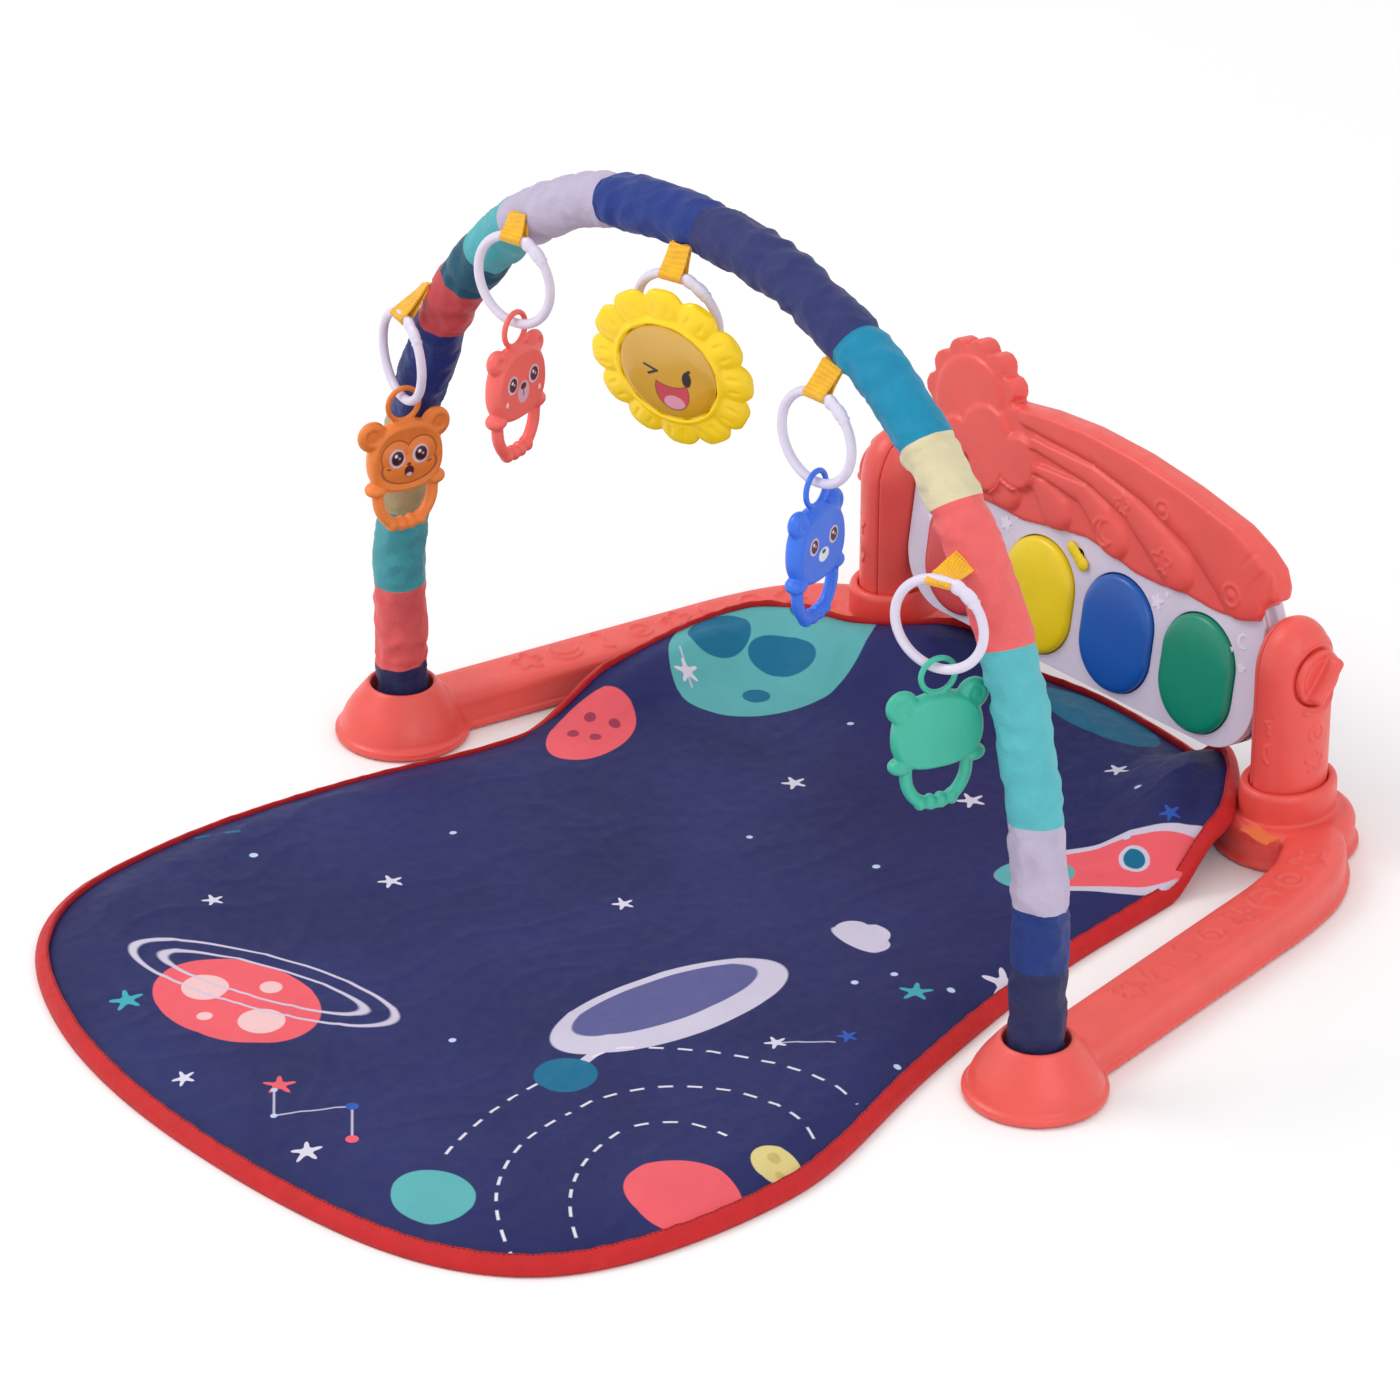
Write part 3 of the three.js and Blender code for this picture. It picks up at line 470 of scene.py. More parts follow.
class Print(Finish):
    """A finish with printed shapes, drawn on the plane of two of the object's own axes."""

    def plane(self, axes="XY", scale=1.0, origin=(0, 0)):
        split = self.node("ShaderNodeSeparateXYZ")
        self.tree.links.new(self.object_space, split.inputs[0])
        along, up = (Field(self.tree, split.outputs[a]) for a in axes)
        along = (along * (1 / (MM * scale))) - origin[0]
        up = (up * (1 / (MM * scale))) - origin[1]
        flat = self.node("ShaderNodeCombineXYZ")
        self.tree.links.new(along.socket, flat.inputs[0])
        self.tree.links.new(up.socket, flat.inputs[1])
        self.flat = flat.outputs[0]
        self.depth = Field(self.tree, split.outputs["Y"]) if axes == "XZ" else None

    def local(self, x, y, turn=0.0, sx=1.0, sy=1.0):
        place = self.node("ShaderNodeMapping", vector_type="TEXTURE")
        place.inputs["Location"].default_value = (x, y, 0)
        place.inputs["Rotation"].default_value = (0, 0, math.radians(turn))
        place.inputs["Scale"].default_value = (sx, sy, 1)
        self.tree.links.new(self.flat, place.inputs["Vector"])
        return place.outputs[0]

    def length(self, vector):
        size = self.node("ShaderNodeVectorMath", operation="LENGTH")
        self.tree.links.new(vector, size.inputs[0])
        return Field(self.tree, size.outputs["Value"])

    def parts(self, vector):
        split = self.node("ShaderNodeSeparateXYZ")
        self.tree.links.new(vector, split.inputs[0])
        return Field(self.tree, split.outputs[0]), Field(self.tree, split.outputs[1])

    def disc(self, x, y, radius):
        gap = self.node("ShaderNodeVectorMath", operation="DISTANCE")
        self.tree.links.new(self.flat, gap.inputs[0])
        gap.inputs[1].default_value = (x, y, 0)
        return Field(self.tree, gap.outputs["Value"]) - radius

    def oval(self, x, y, rx, ry, turn=0.0):
        return (self.length(self.local(x, y, turn, rx, ry)) - 1.0) * min(rx, ry)

    def star(self, x, y, radius, turn=90.0):
        u, v = self.parts(self.local(x, y, turn))
        angle = v.op("ARCTAN2", u)
        point = ((angle * 5.0).op("COSINE") * 0.5 + 0.5).op("POWER", 2.4)
        rim = point * (radius * 0.6) + radius * 0.45
        return (u * u + v * v).op("SQRT") - rim

    def stroke(self, x0, y0, x1, y1, width):
        half = math.hypot(x1 - x0, y1 - y0) / 2
        turn = math.degrees(math.atan2(y1 - y0, x1 - x0))
        u, v = self.parts(self.local((x0 + x1) / 2, (y0 + y1) / 2, turn))
        past = (u.op("ABSOLUTE") - half).most(0.0)
        return (past * past + v * v).op("SQRT") - width

    def dashes(self, x, y, radius, start, end, width, pitch):
        """Dashed arc about (x, y) between two angles in degrees."""
        u, v = self.parts(self.local(x, y, (start + end) / 2))
        angle = v.op("ARCTAN2", u)
        line = ((u * u + v * v).op("SQRT") - radius).op("ABSOLUTE") - width
        count = radius * 2 * math.pi / pitch
        gaps = (angle * count).op("SINE") * -1.6
        ends = (angle.op("ABSOLUTE") - math.radians(end - start) / 2) * radius
        return line.most(gaps).most(ends)

    def paint(self, below, shape, colour, blur=0.6):
        share = ((shape * (-1 / blur)) + 0.5).op("MAXIMUM", 0.0).op("MINIMUM", 1.0)
        above = linear(colour) if isinstance(colour, str) else colour
        return self.mix(share.socket, below, above)


def moulded(name, colour, gloss=(0.34, 0.5), grain=0.05, coat=0.12, soft=0.04):
    """Injection-moulded plastic: satin skin, fine grain, faint flow marks."""
    finish = Finish(name, coat=coat, soft=soft)
    finish.gloss(*gloss)
    finish.bump(finish.noise(0.9, 2.0), grain)
    finish.bump(finish.noise(16.0, 1.0, seed=5.0), grain * 2)
    return finish.done(finish.cloudy(colour, 26.0, 0.05))


def webbing(name, colour, pitch=1.6):
    """Woven tape with a ribbed surface."""
    finish = Finish(name, sheen=0.25)
    finish.gloss(0.6, 0.8)
    finish.weave(pitch, 0.5)
    base = finish.cloudy(colour, 6.0, 0.1)
    return finish.done(base)


def brushed(name, colour, gloss=(0.22, 0.4)):
    finish = Finish(name, metal=1.0)
    finish.gloss(*gloss, size=2.0)
    finish.bump(finish.noise(0.6, 3.0), 0.02)
    return finish.done(finish.cloudy(colour, 5.0, 0.08))


CORAL, WHITE = "#E8544C", "#D9CFE2"
coral = moulded("coral_plastic", CORAL)
white = moulded("white_plastic", WHITE, gloss=(0.38, 0.52))
steel = brushed("steel", "#B4B8BF")
rubber = moulded("pad_rubber", "#55525A", gloss=(0.75, 0.9), grain=0.12, coat=0.0, soft=0.0)
tab_webbing = webbing("yellow_webbing", "#F5B414")
strap_webbing = webbing("orange_webbing", "#F06A1C")


def settled(piece, body, slot, material, *nodes):
    """Gives a piece its finish, puts it under its body's empty and hides the CAD nodes it stands in for."""
    piece.data.materials.clear()
    piece.data.materials.append(material)
    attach(piece, body)
    if nodes:
        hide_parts(*nodes)
    return piece


# ---------------------------------------------------------------- base rails
RAIL_TOP = 23.0
FOOT = Vector((HALF_SPAN, ARCH_Y, 0))
POST_BOX = (low("post_shell_right"), high("post_shell_right"))
POST = Vector(((low("post_face_right").x + POST_BOX[1].x) / 2 - 0.2, (POST_BOX[0].y + POST_BOX[1].y) / 2, 0))
POST_HALF = ((POST_BOX[1].x - POST.x), (POST_BOX[1].y - POST_BOX[0].y) / 2)
# The rail's centre line in plan, from the arch foot to the post, measured from the arch plane.
RAIL_LINE = [(270, 0), (262, 45), (248, 125), (238, 182), (229, 230), (217, 264), (195, 289), (165, 300)]


def spline(points, steps, closed=False):
    """Evenly spaced points on a smooth curve through the given ones."""
    points = [Vector(p) for p in points]
    fine = []
    count = len(points)
    for i in range(count if closed else count - 1):
        a, b, c, d = (points[k % count] if closed else points[min(max(k, 0), count - 1)]
                      for k in range(i - 1, i + 3))
        for step in range(12):
            t = step / 12
            fine.append(0.5 * (2 * b + (c - a) * t + (2 * a - 5 * b + 4 * c - d) * t * t
                               + (3 * b - a - 3 * c + d) * t ** 3))
    fine.append(points[0] if closed else points[-1])
    along = [0.0]
    for a, b in zip(fine, fine[1:]):
        along.append(along[-1] + (b - a).length)
    result, k = [], 0
    for i in range(steps if closed else steps + 1):
        target = along[-1] * i / steps
        while along[k + 1] < target - 1e-9 and k < len(along) - 2:
            k += 1
        share = (target - along[k]) / max(along[k + 1] - along[k], 1e-9)
        result.append(fine[k].lerp(fine[k + 1], share))
    return result


def build_rail():
    section = [(-21.5, 1), (-21.5, 4), (-19, 4.4), (-19, 17), (-17.6, 20.4), (-14.4, 22.4), (-10, RAIL_TOP),
               (10, RAIL_TOP), (14.4, 22.4), (17.6, 20.4), (19, 17), (19, 4.4), (21.5, 4), (21.5, 1),
               (16, 1), (16, 16), (12, 20), (-12, 20), (-16, 16), (-16, 1)]
    line = spline([(x, y + ARCH_Y, 0) for x, y in RAIL_LINE], 90)
    line = [p for p in line if (p - FOOT).length > 23 and (p - POST).length > 21.5]
    beam = sweep(line, section)
    dome = turned([(0.1, 3.9), (0.1, 6), (12.9, 6), (12.9, 16), (18.3, 16), (18.3, 33.2), (19, 34.2),
                   (20.4, 34.2),
                   (22, 32.4), (26.6, 26.4), (30.4, 21.4), (33.8, 16), (36.2, 10.6), (37.6, 6.2),
                   (40, 5), (40, 1),
                   (34.6, 1), (34.6, 5), (30, 14.5), (23.6, 23), (21.3, 23), (21.3, 3.9)],
                  (FOOT.x, FOOT.y, 0), closed=False)
    pad = turned([(39.5, 1), (42, 1), (42, 4), (39.5, 4.6), (39.5, 17), (38, 20.6), (34.6, RAIL_TOP),
                  (24, RAIL_TOP),
                  (24, 20), (33, 20), (36.4, 16), (36.4, 1)], (POST.x, POST.y, 0), closed=True)
    wide, deep = POST_HALF
    rings = []
    for grow, height in ((0.4 - wide, 3.9), (6, 3.9), (6, 39.6), (4.9, 42), (3.2, 42.6), (1.4, 42.3),
                         (0.4, 41),
                         (0.4, 13.5), (0.4 - wide, 13.5)):
        rings.append([(POST.x + (wide + grow) * math.cos(a), POST.y + (deep + grow) * math.sin(a), height)
                      for a in (2 * math.pi * i / 72 for i in range(72))])
    rail = fuse("rail_right_skin", make("rough", merge([beam, dome, pad, loft(rings)])), 1.0, 5)
    line = spline([(x, y + ARCH_Y, 0) for x, y in RAIL_LINE], 90)
    marks = [("star", 23, 10), ("moon", 30, 10), ("wave", 37, 11), ("ring", 44, 9), ("star", 51, 10),
             ("moon", 58, 10), ("ring", 65, 9), ("star", 72, 10)]

    def emboss(point, normal):
        if normal.z < 0.6 or not 21 < point.z < 24.5:
            return None
        rise = max(mark_height(kind, point.x - line[k].x, point.y - line[k].y, size)
                   for kind, k, size in marks)
        return (0, 0, 1.2 * rise) if rise else None

    push(rail, emboss)
    return rail


rail_right = build_rail()
rail_left = mirrored(rail_right, "rail_left_skin")
settled(rail_right, "frame", "coral_plastic", coral, "rail_right")
settled(rail_left, "frame", "coral_plastic", coral, "rail_left")


# ---------------------------------------------------------------- posts and tilt knobs
POST_TOP = POST_BOX[1].z
SPLIT = high("post_face_right").x
KNOB_FLOOR, KNOB_RECESS = 179.0, 18.0


def build_posts():
    wide, deep = POST_HALF
    pivot_y, pivot_z = PIVOT.y / MM, PIVOT.z / MM
    shoulder = pivot_z - 2
    profile = [(0.04, 14.2), (1, 14.2), (1, shoulder)]
    for i in range(1, 13):
        angle = math.pi / 2 * i / 12
        profile.append((max(math.cos(angle) ** 0.9, 0.02),
                        shoulder + (POST_TOP - shoulder) * math.sin(angle)))
    whole = turned(profile, (POST.x, POST.y, 0), (wide, deep), 96)
    halves = []
    for name, keep in (("post_shell_right_skin", 1), ("post_face_right_skin", -1)):
        half = make("rough", whole)
        work = bmesh.new()
        work.from_mesh(half.data)
        bmesh.ops.bisect_plane(work, geom=work.verts[:] + work.edges[:] + work.faces[:],
                               plane_co=((SPLIT + 0.18 * keep) * MM, 0, 0), plane_no=(-keep, 0, 0),
                               clear_outer=True)
        bmesh.ops.holes_fill(work, edges=[e for e in work.edges if e.is_boundary])
        bmesh.ops.recalc_face_normals(work, faces=work.faces)
        work.to_mesh(half.data)
        work.free()
        turn = Matrix.Translation((0, PIVOT.y, PIVOT.z)) @ Matrix.Rotation(math.pi / 2, 4, "Y")
        tools = [make("bore", turned([(3.5, 120), (3.5, 200)], sides=32), turn)]
        if keep > 0:
            tools.append(make("recess", turned([(7.5, 160), (7.5, KNOB_FLOOR), (KNOB_RECESS, KNOB_FLOOR),
                                                (KNOB_RECESS, 210)], sides=64), turn))
        half = carve("rough", half, *tools)
        half = fuse(name, half, 0.85, 5)

        def emboss(point, normal):
            if abs(normal.x) > 0.35 and point.x > POST.x and point.z < 90:
                kinds = (("ring", 0, 78, 6.5), ("star", 0, 60, 7))
                rise = max(mark_height(kind, point.y - POST.y - y, point.z - z, r, 0.9)
                           for kind, y, z, r in kinds)
                return Vector((0.8 * rise, 0, 0)) if rise else None
            if normal.y < -0.35:
                rise = mark_height("moon", (point.x - POST.x - 8) * 1.1, point.z - 66, 6.5, 0.9)
                rise = max(rise, mark_height("star", (point.x - POST.x - 8) * 1.1, point.z - 84, 6, 0.9))
                return Vector((0, -0.8 * rise, 0)) if rise else None
            around = math.hypot(point.y - pivot_y, point.z - pivot_z)
            if normal.x > 0.2 and point.x > 165:
                rise = ease(0.5 - (abs(around - 21.8) - 1.5) / 1.2)
                return Vector((1.2 * rise, 0, 0)) if rise else None
            return None

        push(half, emboss)
        halves.append(half)
    return halves


def build_knob():
    """Round tilt knob with a raised grip across it, built facing up and turned to face outward."""
    disc = turned([(0.1, 172.5), (7, 172.5), (7, 179.4), (15.4, 179.4), (16.3, 180.2), (16.5, 183),
                   (15.6, 184.2),
                   (13.4, 184.6), (12.8, 184), (12.2, 184), (11.6, 184.6), (0.1, 184.8)], sides=72)
    rings = []
    for grow, height in ((1.2, 183), (0.4, 186), (0, 190.5), (-0.9, 192.7), (-2.2, 193.5)):
        rings.append([(x, y, height) for x, y in pill(0, 0, 3.2 + grow, 14.6 + grow)])
    turn = Matrix.Translation((0, PIVOT.y, PIVOT.z)) @ Matrix.Rotation(math.radians(52), 4, "X") \
        @ Matrix.Rotation(math.pi / 2, 4, "Y")
    knob = carve("rough", make("rough", merge([disc])), make("rough", loft(rings)), how="UNION")
    knob = carve("rough", knob, make("bore", turned([(3.45, 160), (3.45, 177)], sides=32)))
    knob.matrix_world = turn
    return fuse("tilt_knob_right_skin", knob, 0.6, 4)


post_shell, post_face = build_posts()
settled(mirrored(post_shell, "post_shell_left_skin"), "frame", "coral_plastic", coral, "post_shell_left")
settled(mirrored(post_face, "post_face_left_skin"), "frame", "coral_plastic", coral, "post_face_left")
settled(post_shell, "frame", "coral_plastic", coral, "post_shell_right")
settled(post_face, "frame", "coral_plastic", coral, "post_face_right")
knob_right = build_knob()
knob_right.data.transform(knob_right.matrix_world)
knob_right.matrix_world = PLAIN
knob_left = mirrored(knob_right, "tilt_knob_left_skin")
settled(knob_right, "knob_right", "coral_plastic", coral, "tilt_knob_right")
settled(knob_left, "knob_left", "coral_plastic", coral, "tilt_knob_left")


# ---------------------------------------------------------------- piano
HALF_WIDTH, BOTTOM, SHELF, CORNER = 144.0, -68.0, 28.0, 34.0
FACE, PANEL_BACK, STEP, BACK = -7.1, -4.6, 13.0, 31.0
NARROWER = 22.0  # how much narrower each side is behind STEP
KEY_PITCH, KEY_RADIUS, KEY_HALF, KEY_Z = 65.6, 27.6, 35.7, -28.3
BATTERY_Z = -27.0
# Puffy bands that fan out of the cloud: (x, z, radius) along each.
BANDS = [
    [(-60, 74, 5), (0, 75, 9), (45, 68, 11), (85, 56, 13), (118, 38, 17), (126, 32, 18)],
    [(-50, 62, 4), (0, 59, 6.5), (31, 51, 8), (57, 37, 11), (74, 27, 13)],
    [(-48, 48, 3), (-5, 46, 7), (12, 36, 10), (22, 27, 12)],
    [(-50, 42, 3), (-36, 36, 8), (-25, 27, 12)],
    [(-70, 25, 11), (-66, 25, 11)],
]
COVER_MARKS = [("ring", 59, 59, 7), ("star", 28, 51, 6), ("moon", 16, 30, 8), ("star", 64, 29, 8),
               ("ring", 120, 29, 8)]


def panel_outline(inset, narrower=0):
    right, base, top = HALF_WIDTH - inset - narrower, BOTTOM + inset, SHELF - inset
    points = [(6 - right, top), (-right, top - 11)]
    for side, start in ((-1, math.pi), (1, 1.5 * math.pi)):
        for i in range(17):
            a = start + math.pi / 2 * i / 16
            points.append((side * (right - CORNER) + CORNER * math.cos(a),
                           base + CORNER + CORNER * math.sin(a)))
    points += [(right, top - 11), (right - 6, top)]
    return points


def band_height(x, z, band, upper):
    """Height share of a puffy band beside its middle line; the upper band is full above that line."""
    best = 0.0
    for (x0, z0, r0), (x1, z1, r1) in zip(band, band[1:]):
        dx, dz = x1 - x0, z1 - z0
        share = min(max(((x - x0) * dx + (z - z0) * dz) / (dx * dx + dz * dz), 0), 1)
        across, up = x - x0 - share * dx, z - z0 - share * dz
        if upper and up > 0:
            up = 0
            across = across if share in (0, 1) else 0
        away = math.hypot(across, up) / (r0 + share * (r1 - r0))
        if away < 1:
            best = max(best, math.sqrt(1 - away ** 3.2))
    return best


def build_cover():
    cover = fuse("piano_cover_skin", from_cad("piano_cover", PIANO), 0.85, 9)

    def relief(point, normal):
        if normal.y > -0.5 or not -12 < point.y < -7.5:
            return None
        height = 0.0
        if point.x > -78:
            height = 3.4 * max(band_height(point.x, point.z, band, band is BANDS[0]) for band in BANDS)
        marks = max(mark_height(kind, point.x - x, point.z - z, r, 0.8) for kind, x, z, r in COVER_MARKS)
        return (0, -height - 0.7 * marks, 0)

    push(cover, relief)
    ease_down = cover.modifiers.new("relax", "SMOOTH")
    ease_down.factor = 0.5
    ease_down.iterations = 2
    return settle(cover, "piano_cover_skin")


cover = build_cover()
settled(cover, "piano", "coral_plastic", coral, "piano_cover")

keys_x = [(i - 1.5) * KEY_PITCH for i in range(4)]
switch_spot = (-5, 7)
holes = [pill(x, KEY_Z, KEY_RADIUS + 0.8, KEY_HALF + 0.8, 72)
         for x in keys_x] + [oval(*switch_spot, 3.9, 3.9, 24)]
panel = make("piano_panel_skin", plate([panel_outline(0), *holes], FACE, PANEL_BACK, 0.6), PIANO,
             smooth=False)
settled(panel, "piano", "white_plastic", white, "piano_panel")


def star_outline(x, z, radius):
    return [(x + radius * (0.78 + 0.22 * math.cos(5 * a)) * math.sin(a),
             z + radius * (0.78 + 0.22 * math.cos(5 * a)) * math.cos(a))
            for a in (math.pi * i / 30 for i in range(60))]


def moon_outline(x, z, radius):
    outer = [(x + radius * math.cos(a), z + radius * math.sin(a))
             for a in (math.radians(50 + 10 * i) for i in range(27))]
    inner = [(x + radius * 0.35 + radius * 0.78 * math.cos(a), z + radius * 0.78 * math.sin(a))
             for a in (math.radians(300 - 12 * i) for i in range(20))]
    return outer + inner


panel_marks = make("panel_marks", merge([plate([outline], FACE - 0.55, FACE + 0.4, 0.25) for outline in (
    star_outline(60, 2, 5), moon_outline(129, 3, 4.6), star_outline(131, -13, 3.4),
                oval(121, -5, 1.6, 1.6, 20),
    star_outline(-66, 5, 5), oval(-58, 12, 1.6, 1.6, 20), oval(67, 9, 1.5, 1.5, 20),
                moon_outline(-131, 0, 4.6),
    star_outline(-127, -14, 3))]), PIANO, smooth=False)
settled(panel_marks, "piano", "white_plastic", moulded("panel_mark_white", "#E6DEEC", gloss=(0.3, 0.42)))

KEYS = {"key_red": "#CF3F42", "key_yellow": "#F0D000", "key_blue": "#0B55AE", "key_green": "#008A6C"}
for key, (name, colour) in enumerate(KEYS.items()):
    rings = []
    for inset, depth in ((8, -1.8), (-2, -1.8), (-2.2, -2.2), (-2.2, -3.8), (-1.8, -4.2), (0.1, -4.25),
                         (0, -4.6), (0, -8.8),
                         (0.5, -10), (1.6, -10.9), (3.4, -11.5), (6.4, -11.9), (11, -12.2),
                         (17, -12.35), (25, -12.4)):
        rings.append([(x, depth, z)
                      for x, z in pill(keys_x[key], KEY_Z, KEY_RADIUS - inset, KEY_HALF - inset, 80)])
    cap = make(name + "_skin", loft(rings), PIANO)
    settled(cap, name, name, moulded(name, colour, gloss=(0.3, 0.34), grain=0.02, coat=0.2), name)


def build_switch():
    """Small two-lobed slider for the volume."""
    turn = math.radians(53)
    lobes = []
    for share, radius in ((-1, 4.4), (-0.45, 4.0), (0.1, 3.6), (0.65, 3.9), (1, 3.6)):
        lobes.append(ball((switch_spot[0] - 6.2 * share * math.sin(turn), -8.9,
                           switch_spot[1] + 6.2 * share * math.cos(turn)), (radius, 1.9, radius)))
    stem = loft([[(x, depth, z) for x, z in oval(*switch_spot, 1, 1, 20)] for depth in (-9, 4)])
    return fuse("volume_switch_skin", make("rough", merge([*lobes, stem]), PIANO), 0.4, 4)


settled(build_switch(), "volume_switch", "key_yellow",
        moulded("switch_yellow", "#EBCB00", gloss=(0.26, 0.38)),
        "volume_switch")


def build_housing():
    """Rear shell: a hollow tray with a battery seat, sound holes and rounded back edges."""
    outer = make("rough", plate([panel_outline(0)], PANEL_BACK + 0.35, STEP, 3), PIANO, smooth=False)
    rear = make("rear", plate([panel_outline(0, NARROWER)], PANEL_BACK + 0.35, BACK, 4.5), PIANO)
    room = make("room", plate([panel_outline(2.6)], PANEL_BACK - 3, STEP - 2.6), PIANO)
    rear_room = make("rear_room", plate([panel_outline(2.6, NARROWER)], PANEL_BACK - 3, BACK - 2.6), PIANO)
    wall = make("wall", plate([panel_outline(0)], PANEL_BACK + 0.35, PANEL_BACK + 9), PIANO)
    inner = make("inner", plate([panel_outline(2.6)], PANEL_BACK - 3, PANEL_BACK + 12), PIANO)
    seat = make("seat", plate([[(-34, BATTERY_Z - 32), (34, BATTERY_Z - 32), (34, BATTERY_Z + 32),
                                (-34, BATTERY_Z + 32)]],
                              BACK - 2.6, BACK + 5), PIANO)
    tray = make("tray", plate([[(-32, BATTERY_Z - 30), (32, BATTERY_Z - 30), (32, BATTERY_Z + 30),
                                (-32, BATTERY_Z + 30)]],
                              11.5, BACK - 1), PIANO)
    tray_room = make("tray_room",
                     plate([[(-28, BATTERY_Z - 23.5), (28, BATTERY_Z - 23.5), (28, BATTERY_Z + 23.5),
                                          (-28, BATTERY_Z + 23.5)]], 13.5, BACK + 5), PIANO)
    frame_block = make("block", plate([[(-37, BATTERY_Z - 35), (37, BATTERY_Z - 35), (37, BATTERY_Z + 35),
                                        (-37, BATTERY_Z + 35)]], BACK - 6, BACK - 0.2), PIANO)
    sounding = [plate([oval(-88 + 5.4 * (i + (j % 2) / 2), -25 + 4.7 * j, 1.3, 1.3, 16)], BACK - 9, BACK + 3)
                for j in range(-3, 4) for i in range(-3, 4)
                if math.hypot(5.4 * (i + (j % 2) / 2), 4.7 * j) < 17]
    wall = carve("wall", wall, inner)
    outer = carve("rough", outer, rear, how="UNION")
    shell = carve("rough", outer, room, rear_room)
    shell = carve("rough", shell, wall, tray, frame_block, how="UNION")
    return carve("piano_housing_skin", shell, seat, tray_room, make("holes", merge(sounding), PIANO))


housing = build_housing()
housing.data.polygons.foreach_set("use_smooth", [False] * len(housing.data.polygons))
settled(housing, "piano", "white_plastic", white, "piano_housing")

# ---------------------------------------------------------------- arch sleeve
def arch_axis(steps=900):
    """Evenly spaced points from the right foot over the top to the left foot."""
    points = [Vector((HALF_SPAN, ARCH_Y, 45 * i / 8)) for i in range(8)]
    power = 2 / ROUNDNESS
    for i in range(121):
        angle = math.pi * i / 120
        c, s = math.cos(angle), max(math.sin(angle), 0)
        points.append(Vector((math.copysign(HALF_SPAN * abs(c) ** power, c), ARCH_Y,
                              SPRING + (ARCH_TOP - SPRING) * s ** power)))
    points += [Vector((-HALF_SPAN, ARCH_Y, 45 - 45 * i / 8)) for i in range(9)]
    return spline(points, steps)


AXIS = arch_axis()
AXIS_STEP = (AXIS[1] - AXIS[0]).length
AXIS_LENGTH = AXIS_STEP * (len(AXIS) - 1)
# Where each colour block ends, in millimetres along the arch from the right foot.
BLOCKS = [("#E4D8C2", 22), ("#1F2558", 76), ("#12337F", 111), ("#C8BCD6", 159), ("#5CC2CB", 260),
          ("#F96B6B", 336),
          ("#E9DDB4", 371), ("#0290B8", 441), ("#28316F", 560), ("#12348A", 640), ("#C8BCD6", 727),
          ("#4FB6BE", 766), ("#04566F", 795), ("#CE474C", 835), ("#132B78", 911), ("#BBAA7A", 975),
          ("#44A3AC", 1028), ("#F06060", 1080), ("#1F2558", 1200)]


def build_sleeve():
    around = 40
    first = math.ceil((HEM + 0.6) / AXIS_STEP)
    rows = list(range(first, len(AXIS) - first, 1))
    rings = []
    seams = [end for _, end in BLOCKS[:-1]]
    for k in rows:
        along = k * AXIS_STEP
        ahead = (AXIS[k + 1] - AXIS[k - 1]).normalized()
        inward = Vector((0, 1, 0)).cross(ahead)
        bend = min(1.0, (AXIS[min(k + 12, len(AXIS) - 1)] - AXIS[max(k - 12, 0)]).normalized().cross(
            (AXIS[min(k + 24, len(AXIS) - 1)] - AXIS[k]).normalized()).length * 22)
        hem = ease((30 - min(along, AXIS_LENGTH - along)) / 12)
        pinch = max(math.exp(-((along - seam) / 1.6) ** 2) for seam in seams)
        ring = []
        for j in range(around):
            a = 2 * math.pi * j / around
            out = inward * math.cos(a) + Vector((0, 1, 0)) * math.sin(a)
            inner_side = max(0.0, -out.dot(Vector((AXIS[k].x, 0, AXIS[k].z - 90)).normalized()))
            soft = noise.noise(Vector((math.cos(a) * 0.9, math.sin(a) * 0.9, along / 26)))
            fold = noise.noise(Vector((math.cos(a) * 0.7 + 7, math.sin(a) * 0.7, along / 9.5)))
            crease = 1 - 2.6 * abs(noise.noise(Vector((math.cos(a) * 1.3, math.sin(a) * 1.3 + 9,
                                                      (along + 9 * math.sin(a + 0.7)) / 13))))
            radius = 14.7 + 1.2 * soft + (1.2 + 1.6 * bend * inner_side) * fold + 1.1 * crease - 0.6 * pinch
            radius += hem * (0.5 + 0.6 * math.sin(7 * a + 2.0 * soft))
            ring.append(tuple(AXIS[k] + out * min(max(radius, 13.5), 16.3)))
        rings.append(ring)
    inner = []
    for k in rows[::6]:
        ahead = (AXIS[k + 1] - AXIS[k - 1]).normalized()
        inward = Vector((0, 1, 0)).cross(ahead)
        inner.append([tuple(AXIS[k] + (inward * math.cos(2 * math.pi * j / around)
                                       + Vector((0, 1, 0)) * math.sin(2 * math.pi * j / around)) * 12.95)
                      for j in range(around)])
    sleeve = make("arch_sleeve_cloth", loft(rings + inner[::-1], closed=True))
    layer = sleeve.data.uv_layers.new(name="cloth")
    # u runs along the arch and v round it, both in metres.
    for face in sleeve.data.polygons:
        for loop, vertex in zip(face.loop_indices, face.vertices):
            row, j = vertex // around, vertex % around
            if j == 0 and any(v % around == around - 1 for v in face.vertices):
                j = around
            row = min(row, len(rows) - 1) if row < len(rows) else rows.index(rows[::6][::-1][row - len(rows)])
            layer.data[loop].uv = (rows[row] * AXIS_STEP * MM, 2 * math.pi * 15 * j / around * MM)
    return sleeve


